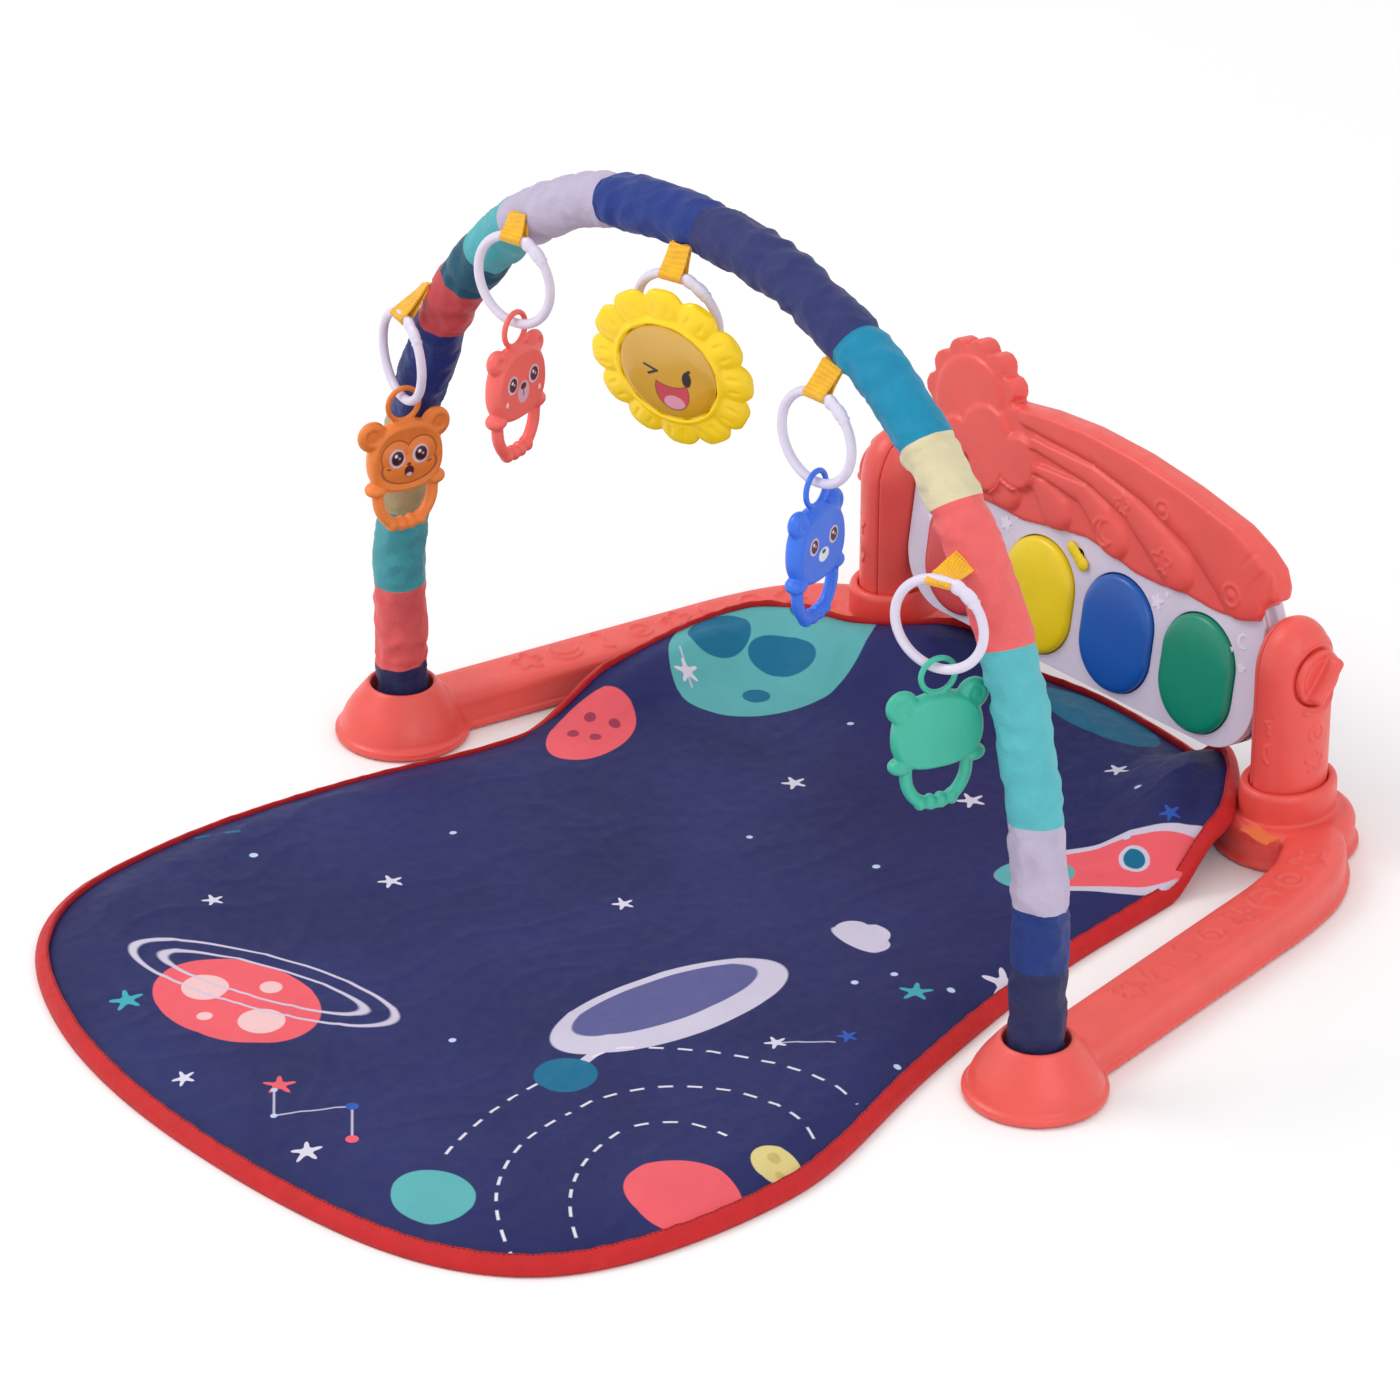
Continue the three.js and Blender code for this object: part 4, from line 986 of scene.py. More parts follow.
def sleeve_cloth():
    """Satin cloth in sewn blocks of colour."""
    finish = Finish("sleeve_fabric", sheen=0.05, shine=0.35)
    split = finish.node("ShaderNodeSeparateXYZ")
    finish.tree.links.new(finish.uv_space, split.inputs[0])
    along = Field(finish.tree, split.outputs[0])
    around = Field(finish.tree, split.outputs[1])
    slant = (around * (2 * math.pi / (2 * math.pi * 15 * MM))).op("SINE") * (1.6 * MM)
    share = (along + slant) * (1 / (AXIS_LENGTH * MM))
    stops, start = [], 0.0
    for colour, end in BLOCKS:
        stops.append((start, linear(colour)))
        start = end / AXIS_LENGTH
    blocks = finish.ramp(share.socket, stops, constant=True)
    shade = finish.ramp(finish.noise(14.0, 4.0), [(0.3, (0.86, 0.86, 0.88, 1)), (0.75, (1, 1, 1, 1))])
    finish.gloss(0.42, 0.6)
    finish.weave(0.9, 0.25, finish.uv_space)
    finish.bump(finish.noise(5.0, 3.0), 0.9)
    finish.bump(finish.noise(13.0, 2.0, seed=2.0), 1.6)
    return finish.done(finish.mix(1.0, blocks, shade, "MULTIPLY"))


sleeve = settled(build_sleeve(), "frame", "sleeve_fabric", sleeve_cloth(), "arch_sleeve")


# ---------------------------------------------------------------- hanging rings and their tabs
RING_RADIUS, RING_BAR, TAB_WIDTH = 25.8, 2.7, 14.0
# Each toy's name and its turn about the vertical, in degrees, and where its tab meets the sleeve,
# measured from the arch plane.
TOYS = {1: ("teether_monkey", 80), 2: ("teether_bear", 105), 3: (None, 18), 4: ("teether_cub", 106),
        5: ("teether_frog", -107)}
TAB_ROOTS = {1: (-228, -8, 307), 2: (-140, -12, 387), 3: (-5, -12, 411), 4: (115, -9, 383),
             5: (219, -10, 305)}
FLOWER_SWING = 12.0  # the flower's ring hangs a little towards the piano
ring_white = moulded("ring_plastic", "#DCD4E8", gloss=(0.3, 0.42), coat=0.2, soft=0.08)


def ring_turn(number):
    axis = Vector(JOINTS[f"ring_{number}_swing"]["axis"])
    return math.atan2(axis.y, axis.x) if axis.x > 0 else math.atan2(-axis.y, -axis.x)


def hanging_frame(number, swung=True):
    """Where a ring meets its tab: X along the ring's swing axis, Z up the ring."""
    fold = Matrix.Translation(Vector(JOINTS[f"ring_{number}_swing"]["pos_m"]))
    swing = math.radians(FLOWER_SWING) if number == 3 and swung else 0.0
    return fold @ Matrix.Rotation(ring_turn(number), 4, "Z") @ Matrix.Rotation(swing, 4, "X")


def build_ring(number):
    """Split ring with a swollen snap joint beside its top."""
    rings = []
    for i in range(144):
        angle = 2 * math.pi * i / 144
        joint = (angle - math.radians(34)) * RING_RADIUS
        swell = 1 + 0.58 * ease((8.8 - abs(joint)) / 1.4)
        notch = 0.85 * math.exp(-((joint - 5.8) / 0.55) ** 2) + 0.7 * math.exp(-((joint + 7.6) / 0.5) ** 2)
        notch += 0.6 * math.exp(-((joint + 1.4) / 1.5) ** 2)
        bar = RING_BAR * swell - notch
        out = Vector((math.sin(angle), 0, math.cos(angle)))
        centre = Vector((0, 0, -RING_RADIUS)) + out * RING_RADIUS
        rings.append([tuple(centre + out * (bar * math.cos(a)) + Vector((0,
                    bar * min(1, 1.12 / swell) * math.sin(a), 0)))
                      for a in (2 * math.pi * j / 20 for j in range(20))])
    return make(f"ring_{number}_skin", loft(rings, closed=True), hanging_frame(number))


def build_tab(number):
    """Tape folded over the ring's bar and sewn to the underside of the sleeve."""
    place = hanging_frame(number, swung=False)
    x, y, z = TAB_ROOTS[number]
    root = place.inverted() @ (Vector((x, ARCH_Y + y, z)) * MM) / MM
    reach = root.length
    rise = root.normalized()
    forward = Vector((0, -1, 0))
    nearest = min(range(len(AXIS)), key=lambda k: (AXIS[k] - Vector((x, ARCH_Y, z))).length)
    gap = 0.0
    tangent = (AXIS[nearest + 2] - AXIS[nearest - 2]).normalized()
    tangent = place.to_3x3().inverted() @ tangent
    tangent = tangent if tangent.x > 0 else -tangent
    for step in range(200):
        spot = place @ (rise * (reach * step / 200) * MM) / MM
        if min((AXIS[k] - spot).length
               for k in range(max(nearest - 40, 0), min(nearest + 40, len(AXIS)), 2)) < 15.2:
            break
        gap = reach * step / 200
    line = []
    for i in range(13):
        share = 1 - i / 12
        line.append(rise * (gap * share) + forward * (1.1 + 2.5 * (1 - share) ** 2.2))
    for i in range(1, 12):
        angle = math.pi * i / 12
        line.append(forward * (3.6 * math.cos(angle)) - Vector((0, 0, 3.6 * math.sin(angle))))
    for i in range(13):
        share = i / 12
        line.append(rise * (gap * share) - forward * (1.1 + 2.5 * (1 - share) ** 2.2))
    half, thick = TAB_WIDTH / 2, 0.55
    section = [(-half, -thick), (-half * 0.5, -thick), (0, -thick), (half * 0.5, -thick), (half, -thick),
               (half, thick), (half * 0.5, thick), (0, thick), (-half * 0.5, thick), (-half, thick)]
    rings = []
    for i, point in enumerate(line):
        ahead = (line[min(i + 1, len(line) - 1)] - line[max(i - 1, 0)]).normalized()
        share = 0.55 * ease((abs(i - 18) - 6) / 12)
        across = Vector((1, 0, 0)).lerp(tangent, share)
        across = (across - ahead * across.dot(ahead)).normalized()
        normal = ahead.cross(across).normalized()
        rings.append([tuple(point + across * u + normal * v) for u, v in section])
    return make(f"tab_{number}_tape", loft(rings), place, smooth=False)


for number in TOYS:
    settled(build_ring(number), f"ring_{number}", "ring_plastic", ring_white, f"ring_{number}")
    settled(build_tab(number), "frame", "yellow_webbing", tab_webbing, f"tab_{number}")


# ---------------------------------------------------------------- teethers
def toy_frame(number):
    """Bottom of a toy's ring, turned so that the toy faces its own -Y."""
    turn = math.radians(TOYS[number][1]) - ring_turn(number)
    return (hanging_frame(number) @ Matrix.Translation((0, 0, -2 * RING_RADIUS * MM))
            @ Matrix.Rotation(turn, 4, "Z"))


HEAD_Z, LOOP_Z, LOOP_RADIUS = -36.0, -4.1, 9.9
# Each animal's half head width, and how far out, how far up and how big its ears are.
SHAPES = {1: (24, 20.5, 16, 9.4), 2: (24, 17.5, 17.5, 7.6), 4: (24, 17.5, 17.5, 7.6),
          5: (26.5, 20.5, 17, 9.6)}


def build_teether(number, name):
    """Flat animal head with ears and paws over a bumpy U-shaped grip, hung from a thin loop."""
    width, ear_x, ear_z, ear = SHAPES[number]
    head = []
    for depth in (-5.6, -5.3, -4.6, -3.4, -1.8, 0, 1.8, 3.4, 4.6, 5.3, 5.6):
        grow = math.sqrt(max(1 - (depth / 6.0) ** 2, 0)) * 4.6 - 4.6
        head.append([(math.copysign(abs(math.cos(a)) ** 0.78,
                                    math.cos(a)) * (width + grow) * (1 - 0.05 * math.sin(a)),
                      depth, HEAD_Z + math.copysign(abs(math.sin(a)) ** 0.86, math.sin(a)) * (22 + grow))
                     for a in (2 * math.pi * i / 64 for i in range(64))])
    skins = [loft(head)]
    for side in (-1, 1):
        skins.append(ball((side * ear_x, 0, HEAD_Z + ear_z), (ear, 5.0, ear)))
        skins.append(ball((side * (width - 5.4), 0, HEAD_Z - 17.6), (7.2, 6.0, 4.8)))
    loop = [Vector((LOOP_RADIUS * math.sin(a), 0, LOOP_Z + LOOP_RADIUS * math.cos(a)))
            for a in (2 * math.pi * i / 48 for i in range(48))]
    skins.append(sweep(loop, circle(1.7, 12), closed=True, across=(0, 1, 0)))
    half = [(17.6, HEAD_Z - 12), (17.8, -58), (16.6, -67), (11.6, -75.2), (4, -79)]
    path = spline([Vector((-x, 0, z)) for x, z in half] + [Vector((x, 0, z)) for x, z in reversed(half)], 60)
    skins.append(sweep(path, circle(3.5, 16), across=(0, 1, 0)))
    for x in (-9.3, -3.1, 3.1, 9.3):
        skins.append(ball((x, 0, 0.011 * x * x - 78.7), (3.5, 4.6, 4.6)))
    toy = fuse(name + "_skin", make("rough", merge(skins), toy_frame(number)), 0.62, 5)

    def dish(point, normal):
        """Dished ears on both sides."""
        if abs(normal.y) < 0.4:
            return None
        away = min(math.hypot(point.x - side * (ear_x + 1), point.z - HEAD_Z - ear_z - 1) for side in (-1, 1))
        return (0, -math.copysign(1.5 * ease((ear - 3.6 - away) / 3.2), normal.y), 0)

    push(toy, dish)
    return toy


def face_space(finish):
    """Draws on the front of a toy, in millimetres from the middle of its head."""
    finish.plane("XZ", origin=(0, HEAD_Z))
    return finish


def front_only(finish, shape):
    """A shape kept to the half of the toy that faces its own -Y."""
    return shape.most(finish.depth * (1 / MM) + 2.0)


def dark_eye(finish, colour, x, z, size, rim="#D6C3D3"):
    colour = finish.paint(colour, front_only(finish, finish.oval(x, z, size, size * 1.12)), rim)
    colour = finish.paint(colour, front_only(finish, finish.oval(x + 0.3, z, size * 0.76, size * 0.88)),
                          "#43161C")
    colour = finish.paint(colour,
                front_only(finish, finish.disc(x - 0.1 * size, z + 0.3 * size, size * 0.2)), "#F3E6EE")
    return finish.paint(colour,
                front_only(finish, finish.disc(x + 0.3 * size, z - 0.05 * size, size * 0.14)), "#D9B9C6")


def monkey_finish():
    finish = face_space(Print("toy_orange", coat=0.15, soft=0.06))
    colour = finish.cloudy("#EE8230", 20.0, 0.05)
    mask = finish.oval(-8, 2.8, 9.8, 9.8).least(finish.oval(8, 2.8, 9.8, 9.8), finish.oval(0, -5, 17.6, 10.2))
    # The mask's outline is bumped in as a groove below, and painted shade in darker orange lies along it.
    edge = mask.op("ABSOLUTE") - 0.42
    colour = finish.paint(colour, front_only(finish, edge), "#A8501E")
    for side in (-1, 1):
        colour = dark_eye(finish, colour, side * 7.6, 1.4, 5.2)
        colour = finish.paint(colour,
                    front_only(finish, finish.stroke(side * 12.2, -4.6, side * 14, -4, 0.5)), "#7C3413")
    colour = finish.paint(colour, front_only(finish, finish.oval(0, -3.6, 1.5, 1.1)), "#5A1D1C")
    mouth = finish.oval(0, -8, 3.1, 3.6)
    colour = finish.paint(colour, front_only(finish, mouth), "#5A1D1C")
    colour = finish.paint(colour, front_only(finish, finish.oval(0, -10, 1.9, 1.2)), "#E7CBD6")
    finish.gloss(0.36, 0.5)
    finish.bump(finish.noise(0.9, 2.0), 0.04)
    finish.bump(edge.socket, 0.3)
    return finish.done(colour)


def bear_finish():
    finish = face_space(Print("toy_coral", coat=0.15, soft=0.06))
    colour = finish.cloudy("#F2655C", 20.0, 0.05)
    for side in (-1, 1):
        colour = dark_eye(finish, colour, side * 10, 2.6, 4.8)
        colour = finish.paint(colour, front_only(finish, finish.oval(side * 15.4, -7.4, 1.2, 1.6)), "#EFD6DA")
    colour = finish.paint(colour, front_only(finish, finish.oval(0, -4.6, 5.4, 6.6)), "#D9A9BB")
    colour = finish.paint(colour, front_only(finish, finish.oval(0, -1.2, 2.7, 2.0)), "#43161C")
    colour = finish.paint(colour, front_only(finish, finish.stroke(0, -2.4, 0, -6.6, 0.45)), "#6A2A31")
    finish.gloss(0.36, 0.5)
    finish.bump(finish.noise(0.9, 2.0), 0.04)
    return finish.done(colour)


def plain_face_finish(name, tint, snout):
    finish = face_space(Print(name, coat=0.15, soft=0.06))
    colour = finish.cloudy(tint, 20.0, 0.05)
    for side in (-1, 1):
        colour = dark_eye(finish, colour, side * 9.6, 2.6, 4.4)
    colour = finish.paint(colour, front_only(finish, finish.oval(0, -5.4, *snout)), "#DCE6EE")
    colour = finish.paint(colour, front_only(finish, finish.oval(0, -3.6, 1.8, 1.2)), "#26262C")
    finish.gloss(0.36, 0.5)
    finish.bump(finish.noise(0.9, 2.0), 0.04)
    return finish.done(colour)


TEETHERS = {
    1: ("toy_orange", monkey_finish()),
    2: ("toy_coral", bear_finish()),
    4: ("toy_blue", plain_face_finish("toy_blue", "#2F6FE6", (5, 4))),
    5: ("toy_green", plain_face_finish("toy_green", "#34B096", (7, 3.4))),
}
for number, (toy_slot, material) in TEETHERS.items():
    name = TOYS[number][0]
    settled(build_teether(number, name), name, toy_slot, material, name)


# ---------------------------------------------------------------- sunflower
FLOWER_Z, PETALS = -1.0, 12


def build_petals():
    place = toy_frame(3)
    skins = []
    for i in range(PETALS):
        angle = 2 * math.pi * i / PETALS
        out = Vector((math.cos(angle), 0, math.sin(angle)))
        side = Vector((-math.sin(angle), 0, math.cos(angle)))
        rings = []
        for step in range(13):
            share = 0.03 + 0.94 * step / 12
            reach = 26 + 24.2 * share
            width = 13.6 * math.sqrt(max(1 - ((share - 0.46) / 0.58) ** 2, 0.004)) * (0.78 + 0.26 * share)
            thick = 5.2 * math.sqrt(max(1 - ((share - 0.4) / 0.64) ** 2, 0.02))
            rings.append([tuple(out * reach + side * (width * math.cos(a)) + Vector((0,
                        -12.4 + thick * math.sin(a), FLOWER_Z)))
                          for a in (2 * math.pi * j / 28 for j in range(28))])
        skins.append(loft(rings))
    seat = turned([(29.6, -9.4), (35, -9.4), (35.4, -13.6), (33.8, -17.4), (32, -18.7), (30.8, -18.4),
                   (30.7, -15.4),
                   (0.1, -15.4), (0.1, -9.4)], sides=96, closed=True)
    seat = [(x, z, y + FLOWER_Z) for x, y, z in seat[0]], seat[1]
    flower = fuse("sunflower_petals_skin", make("rough", merge([*skins, seat]), place), 0.75, 3)

    def grooves(point, normal):
        reach = math.hypot(point.x, point.z - FLOWER_Z)
        if normal.y > -0.15 or reach < 36:
            return None
        around = math.atan2(point.z - FLOWER_Z, point.x) / (2 * math.pi / PETALS)
        within = (around - round(around)) * 2 * math.pi * reach / PETALS
        fade = ease((reach - 36) / 3) * ease((47 - reach) / 7)
        return (0, 0.75 * fade * math.exp(-((abs(within) - 4.2) / 1.3) ** 2), 0)

    push(flower, grooves)
    return flower


def flower_disc(name, profile):
    """A disc turned about the flower's own axis, from (radius, depth) pairs."""
    skin = turned(profile, sides=96)
    return make(name, ([(x, z, y + FLOWER_Z) for x, y, z in skin[0]], skin[1]), toy_frame(3))


def face_finish():
    """Glossy ochre disc with a winking, laughing face."""
    finish = Print("face_ochre", coat=0.7)
    finish.plane("XZ", origin=(0, FLOWER_Z))
    shade = finish.ramp(finish.noise(60.0, 1.0), [(0.35, linear("#CF9B1E")), (0.65, linear("#DBA93C"))])
    lower = finish.disc(46, -46, 46)
    colour = finish.paint(shade, lower, "#D29A00", 1.2)
    eye = finish.oval(12.2, -1.4, 2.9, 5.2, -8)
    mouth = finish.oval(2.0, -11.4, 10.4, 12.2).most(finish.disc(2.0, 10.6, 19.2) * -1.0)
    dark = "#2C2426"
    colour = finish.paint(colour, eye, dark)
    colour = finish.paint(colour, finish.stroke(12.4, 2.6, 14.4, 4.4, 1.0), dark)
    for stroke in ((-13.6, 3.2, -6.2, 0.4), (-6.2, 0.4, -11.6, -2.4)):
        colour = finish.paint(colour, finish.stroke(*stroke, 0.85), dark)
    colour = finish.paint(colour, mouth, "#C94A4E")
    colour = finish.paint(colour, finish.oval(2.6, -19.2, 6.6, 5.0).most(mouth), "#E09AAE")
    colour = finish.paint(colour, mouth.op("ABSOLUTE") - 0.25, "#7A2B2C")
    finish.gloss(0.08, 0.16)
    return finish.done(colour)


petal_yellow = moulded("petal_yellow", "#FFD400", gloss=(0.36, 0.5), coat=0.1, soft=0.08)
settled(build_petals(), "ring_3", "petal_yellow", petal_yellow, "sunflower_petals")
settled(flower_disc("sunflower_face_skin",
                    [(0.1, -18.9), (20, -18.8), (27, -18.5), (29.2, -18), (29.9, -17.2),
                                            (30, -15.9), (0.1, -15.9)]),
        "ring_3", "face_ochre", face_finish(), "sunflower_face")
settled(flower_disc("sunflower_back_skin",
                    [(0.1, -8.9), (36.4, -8.9), (37, -8.3), (36.6, -6.6), (35, -5.6), (30, -4.9),
                                            (22, -4.6), (20, -4.9), (18, -4.6), (0.1, -4.5)]),
        "ring_3", "petal_yellow", petal_yellow, "sunflower_back")

# ---------------------------------------------------------------- padded mat
MAT_CENTRE = Vector((-8, ARCH_Y - 38.5, 0))


def base_height(x, y):
    """Height of the mat's underside: flat on the floor, and up on the left rail and both collar pads."""
    y = y - ARCH_Y
    along_rail = ease((y - 40) / 70) * ease((-x - 160) / 46)
    pads = [ease((105 - math.hypot(x - side * POST.x, y - (POST.y - ARCH_Y))) / 45) for side in (-1, 1)]
    return 24.4 * max(along_rail, *pads)


def mat_edge():
    """The CAD mat's outermost points by direction: a closed, evenly spaced line at its edge's height."""
    source = frame["nodes"]["play_mat"]
    points = [source.matrix_world @ v.co / MM for v in source.data.vertices]
    rim = {}
    for point in points:
        if point.z > 2 + base_height(point.x, point.y):
            continue
        away = point - MAT_CENTRE
        angle = round(math.degrees(math.atan2(away.y, away.x)) / 1.5)
        reach = math.hypot(away.x, away.y)
        if angle not in rim or reach > rim[angle][0] + 0.01:
            rim[angle] = (reach, point)
    ordered = [rim[angle][1] for angle in sorted(rim)]
    kept = [p for i, p in enumerate(ordered)
            if (p - MAT_CENTRE).xy.length > 0.93 * max((q - MAT_CENTRE).xy.length
                                                       for q in (ordered[i - 1], ordered[(i + 1) % len(ordered)]))]
    line = spline([(p.x, p.y, 0) for p in kept], 420, closed=True)
    for _ in range(10):
        line = [(line[i - 1] + line[i] * 2 + line[(i + 1) % len(line)]) / 4 for i in range(len(line))]
    return line


EDGE = mat_edge()


def edge_distance():
    """Distance from a point in plan to the mat's edge, looked up in a tree of edge points."""
    from mathutils.kdtree import KDTree
    tree = KDTree(len(EDGE))
    for i, point in enumerate(EDGE):
        tree.insert((point.x, point.y, 0), i)
    tree.balance()
    return lambda x, y: tree.find((x, y, 0))[2]


EDGE_AWAY = edge_distance()
BINDING = 8.0  # width of the edge binding


def build_mat():
    """Foam-filled mat: the CAD solid swollen as cloth, then creased."""
    rough = from_cad("play_mat")
    skin = rough.modifiers.new("skin", "REMESH")
    skin.mode = "VOXEL"
    skin.voxel_size = 4.5 * MM
    mat = settle(rough, "play_mat_pad")
    rest = [v.co.copy() for v in mat.data.vertices]
    cloth = mat.modifiers.new("cloth", "CLOTH")
    cloth.settings.use_pressure = True
    cloth.settings.uniform_pressure_force = 4
    cloth.settings.effector_weights.gravity = 0
    cloth.settings.quality = 4
    cloth.collision_settings.use_collision = False
    for step in range(1, 21):
        scene.frame_set(step)
    mat = settle(mat, "play_mat_pad")
    scene.frame_set(1)
    for vertex, start in zip(mat.data.vertices, rest):
        away = EDGE_AWAY(start.x / MM, start.y / MM)
        cap = 2.6 * MM * ease((away - 4) / 26)
        swell = vertex.co - start
        if swell.length > cap:
            swell = swell.normalized() * cap
        vertex.co = start + swell
    relax = mat.modifiers.new("relax", "SMOOTH")
    relax.factor = 0.5
    relax.iterations = 3
    finer = mat.modifiers.new("finer", "SUBSURF")
    finer.levels = finer.render_levels = 1
    mat = settle(mat, "play_mat_pad")

    def crease(point, normal):
        floor = base_height(point.x, point.y)
        if normal.z < 0.15:
            return (0, 0, max(0.25 - point.z, 0)) if point.z < 0.25 else None
        away = EDGE_AWAY(point.x, point.y)
        fade = ease((away - 3) / 16)
        broad = noise.noise(Vector((point.x / 85, point.y / 85, 3.0)))
        warped = Vector((point.x / 34 + 0.9 * broad, point.y / 62, 8.0))
        ridge = 1 - abs(noise.noise(warped)) * 2.4
        fine = noise.noise(Vector((point.x / 15, point.y / 22, 1.0)))
        pull = noise.noise(Vector((point.x / 11, point.y / 11, 5.0))) * ease((34 - away) / 26)
        height = 0.8 * broad + 0.7 * max(ridge, 0) ** 4 + 0.2 * fine + 0.6 * pull
        return (0, 0, fade * max(height, floor - point.z + 4))

    push(mat, crease)
    return mat


def build_binding():
    """Tape folded over the mat's edge, a little puckered by its stitches."""
    count = len(EDGE)
    rings = []
    along = 0.0
    for i, point in enumerate(EDGE):
        ahead = (EDGE[(i + 1) % count] - EDGE[i - 1]).normalized()
        outward = Vector((ahead.y, -ahead.x, 0))
        if (point + outward - MAT_CENTRE).length < (point - MAT_CENTRE).length:
            outward = -outward
        lift = base_height(point.x, point.y)
        inner = point - outward * BINDING
        lift_in = base_height(inner.x, inner.y)
        pucker = 0.35 * noise.noise(Vector((point.x / 7, point.y / 7, 2.0)))
        width = BINDING + 0.5 * noise.noise(Vector((point.x / 20, point.y / 20, 6.0)))
        ring = []
        for u, v in ((0.3, 0.5), (0.1, 2.2), (0.7, 4.6), (2.4, 6.6), (5, 8.2), (7.6, 9.4), (9.3, 10.1),
                     (10.0, 9.4),
                     (9.8, 6.0), (8, 0.6), (4, 0.2), (1.4, 0.1)):
            share = u / 10
            top = 1.0 if v > 4 else 0.0
            wave = top * (pucker + 0.3 * math.sin(along / 2.4) * ease((u - 5) / 3))
            spot = point - outward * (u * width / 10)
            ring.append((spot.x, spot.y, v + wave + lift + (lift_in - lift) * share))
        rings.append(ring)
        along += (EDGE[(i + 1) % count] - point).length
    binding = make("mat_binding", loft(rings, closed=True))
    layer = binding.data.uv_layers.new(name="tape")
    per = len(rings[0])
    step = along / count
    for face in binding.data.polygons:
        last = any(v // per == count - 1 for v in face.vertices) and any(v // per == 0 for v in face.vertices)
        for loop, vertex in zip(face.loop_indices, face.vertices):
            row, column = vertex // per, vertex % per
            if row == 0 and last:
                row = count
            if column == 0 and any(v % per == per - 1 for v in face.vertices):
                column = per
            layer.data[loop].uv = (row * step * MM, column * 2.4 * MM)
    return binding


# Points along each dashed line of the print.
ORBITS = [
    [(115, -275), (93, -205), (93, -140), (133, -102), (209, -79)],
    [(207, -303), (150, -268), (125, -200), (142, -140), (220, -119)],
    [(236, -278), (173, -237), (155, -190), (172, -162), (194, -155)],
]


def arc_through(a, b, c):
    """Centre, radius and end angles in degrees of the arc from a by b to c."""
    (ax, ay), (bx, by), (cx, cy) = a, b, c
    twice = 2 * (ax * (by - cy) + bx * (cy - ay) + cx * (ay - by))
    sizes = ax * ax + ay * ay, bx * bx + by * by, cx * cx + cy * cy
    x = (sizes[0] * (by - cy) + sizes[1] * (cy - ay) + sizes[2] * (ay - by)) / twice
    y = (sizes[0] * (cx - bx) + sizes[1] * (ax - cx) + sizes[2] * (bx - ax)) / twice
    start, middle, end = (math.degrees(math.atan2(py - y, px - x)) for px, py in (a, b, c))
    middle = start + (middle - start + 180) % 360 - 180
    end = middle + (end - middle + 180) % 360 - 180
    return x, y, math.hypot(ax - x, ay - y), min(start, end), max(start, end)


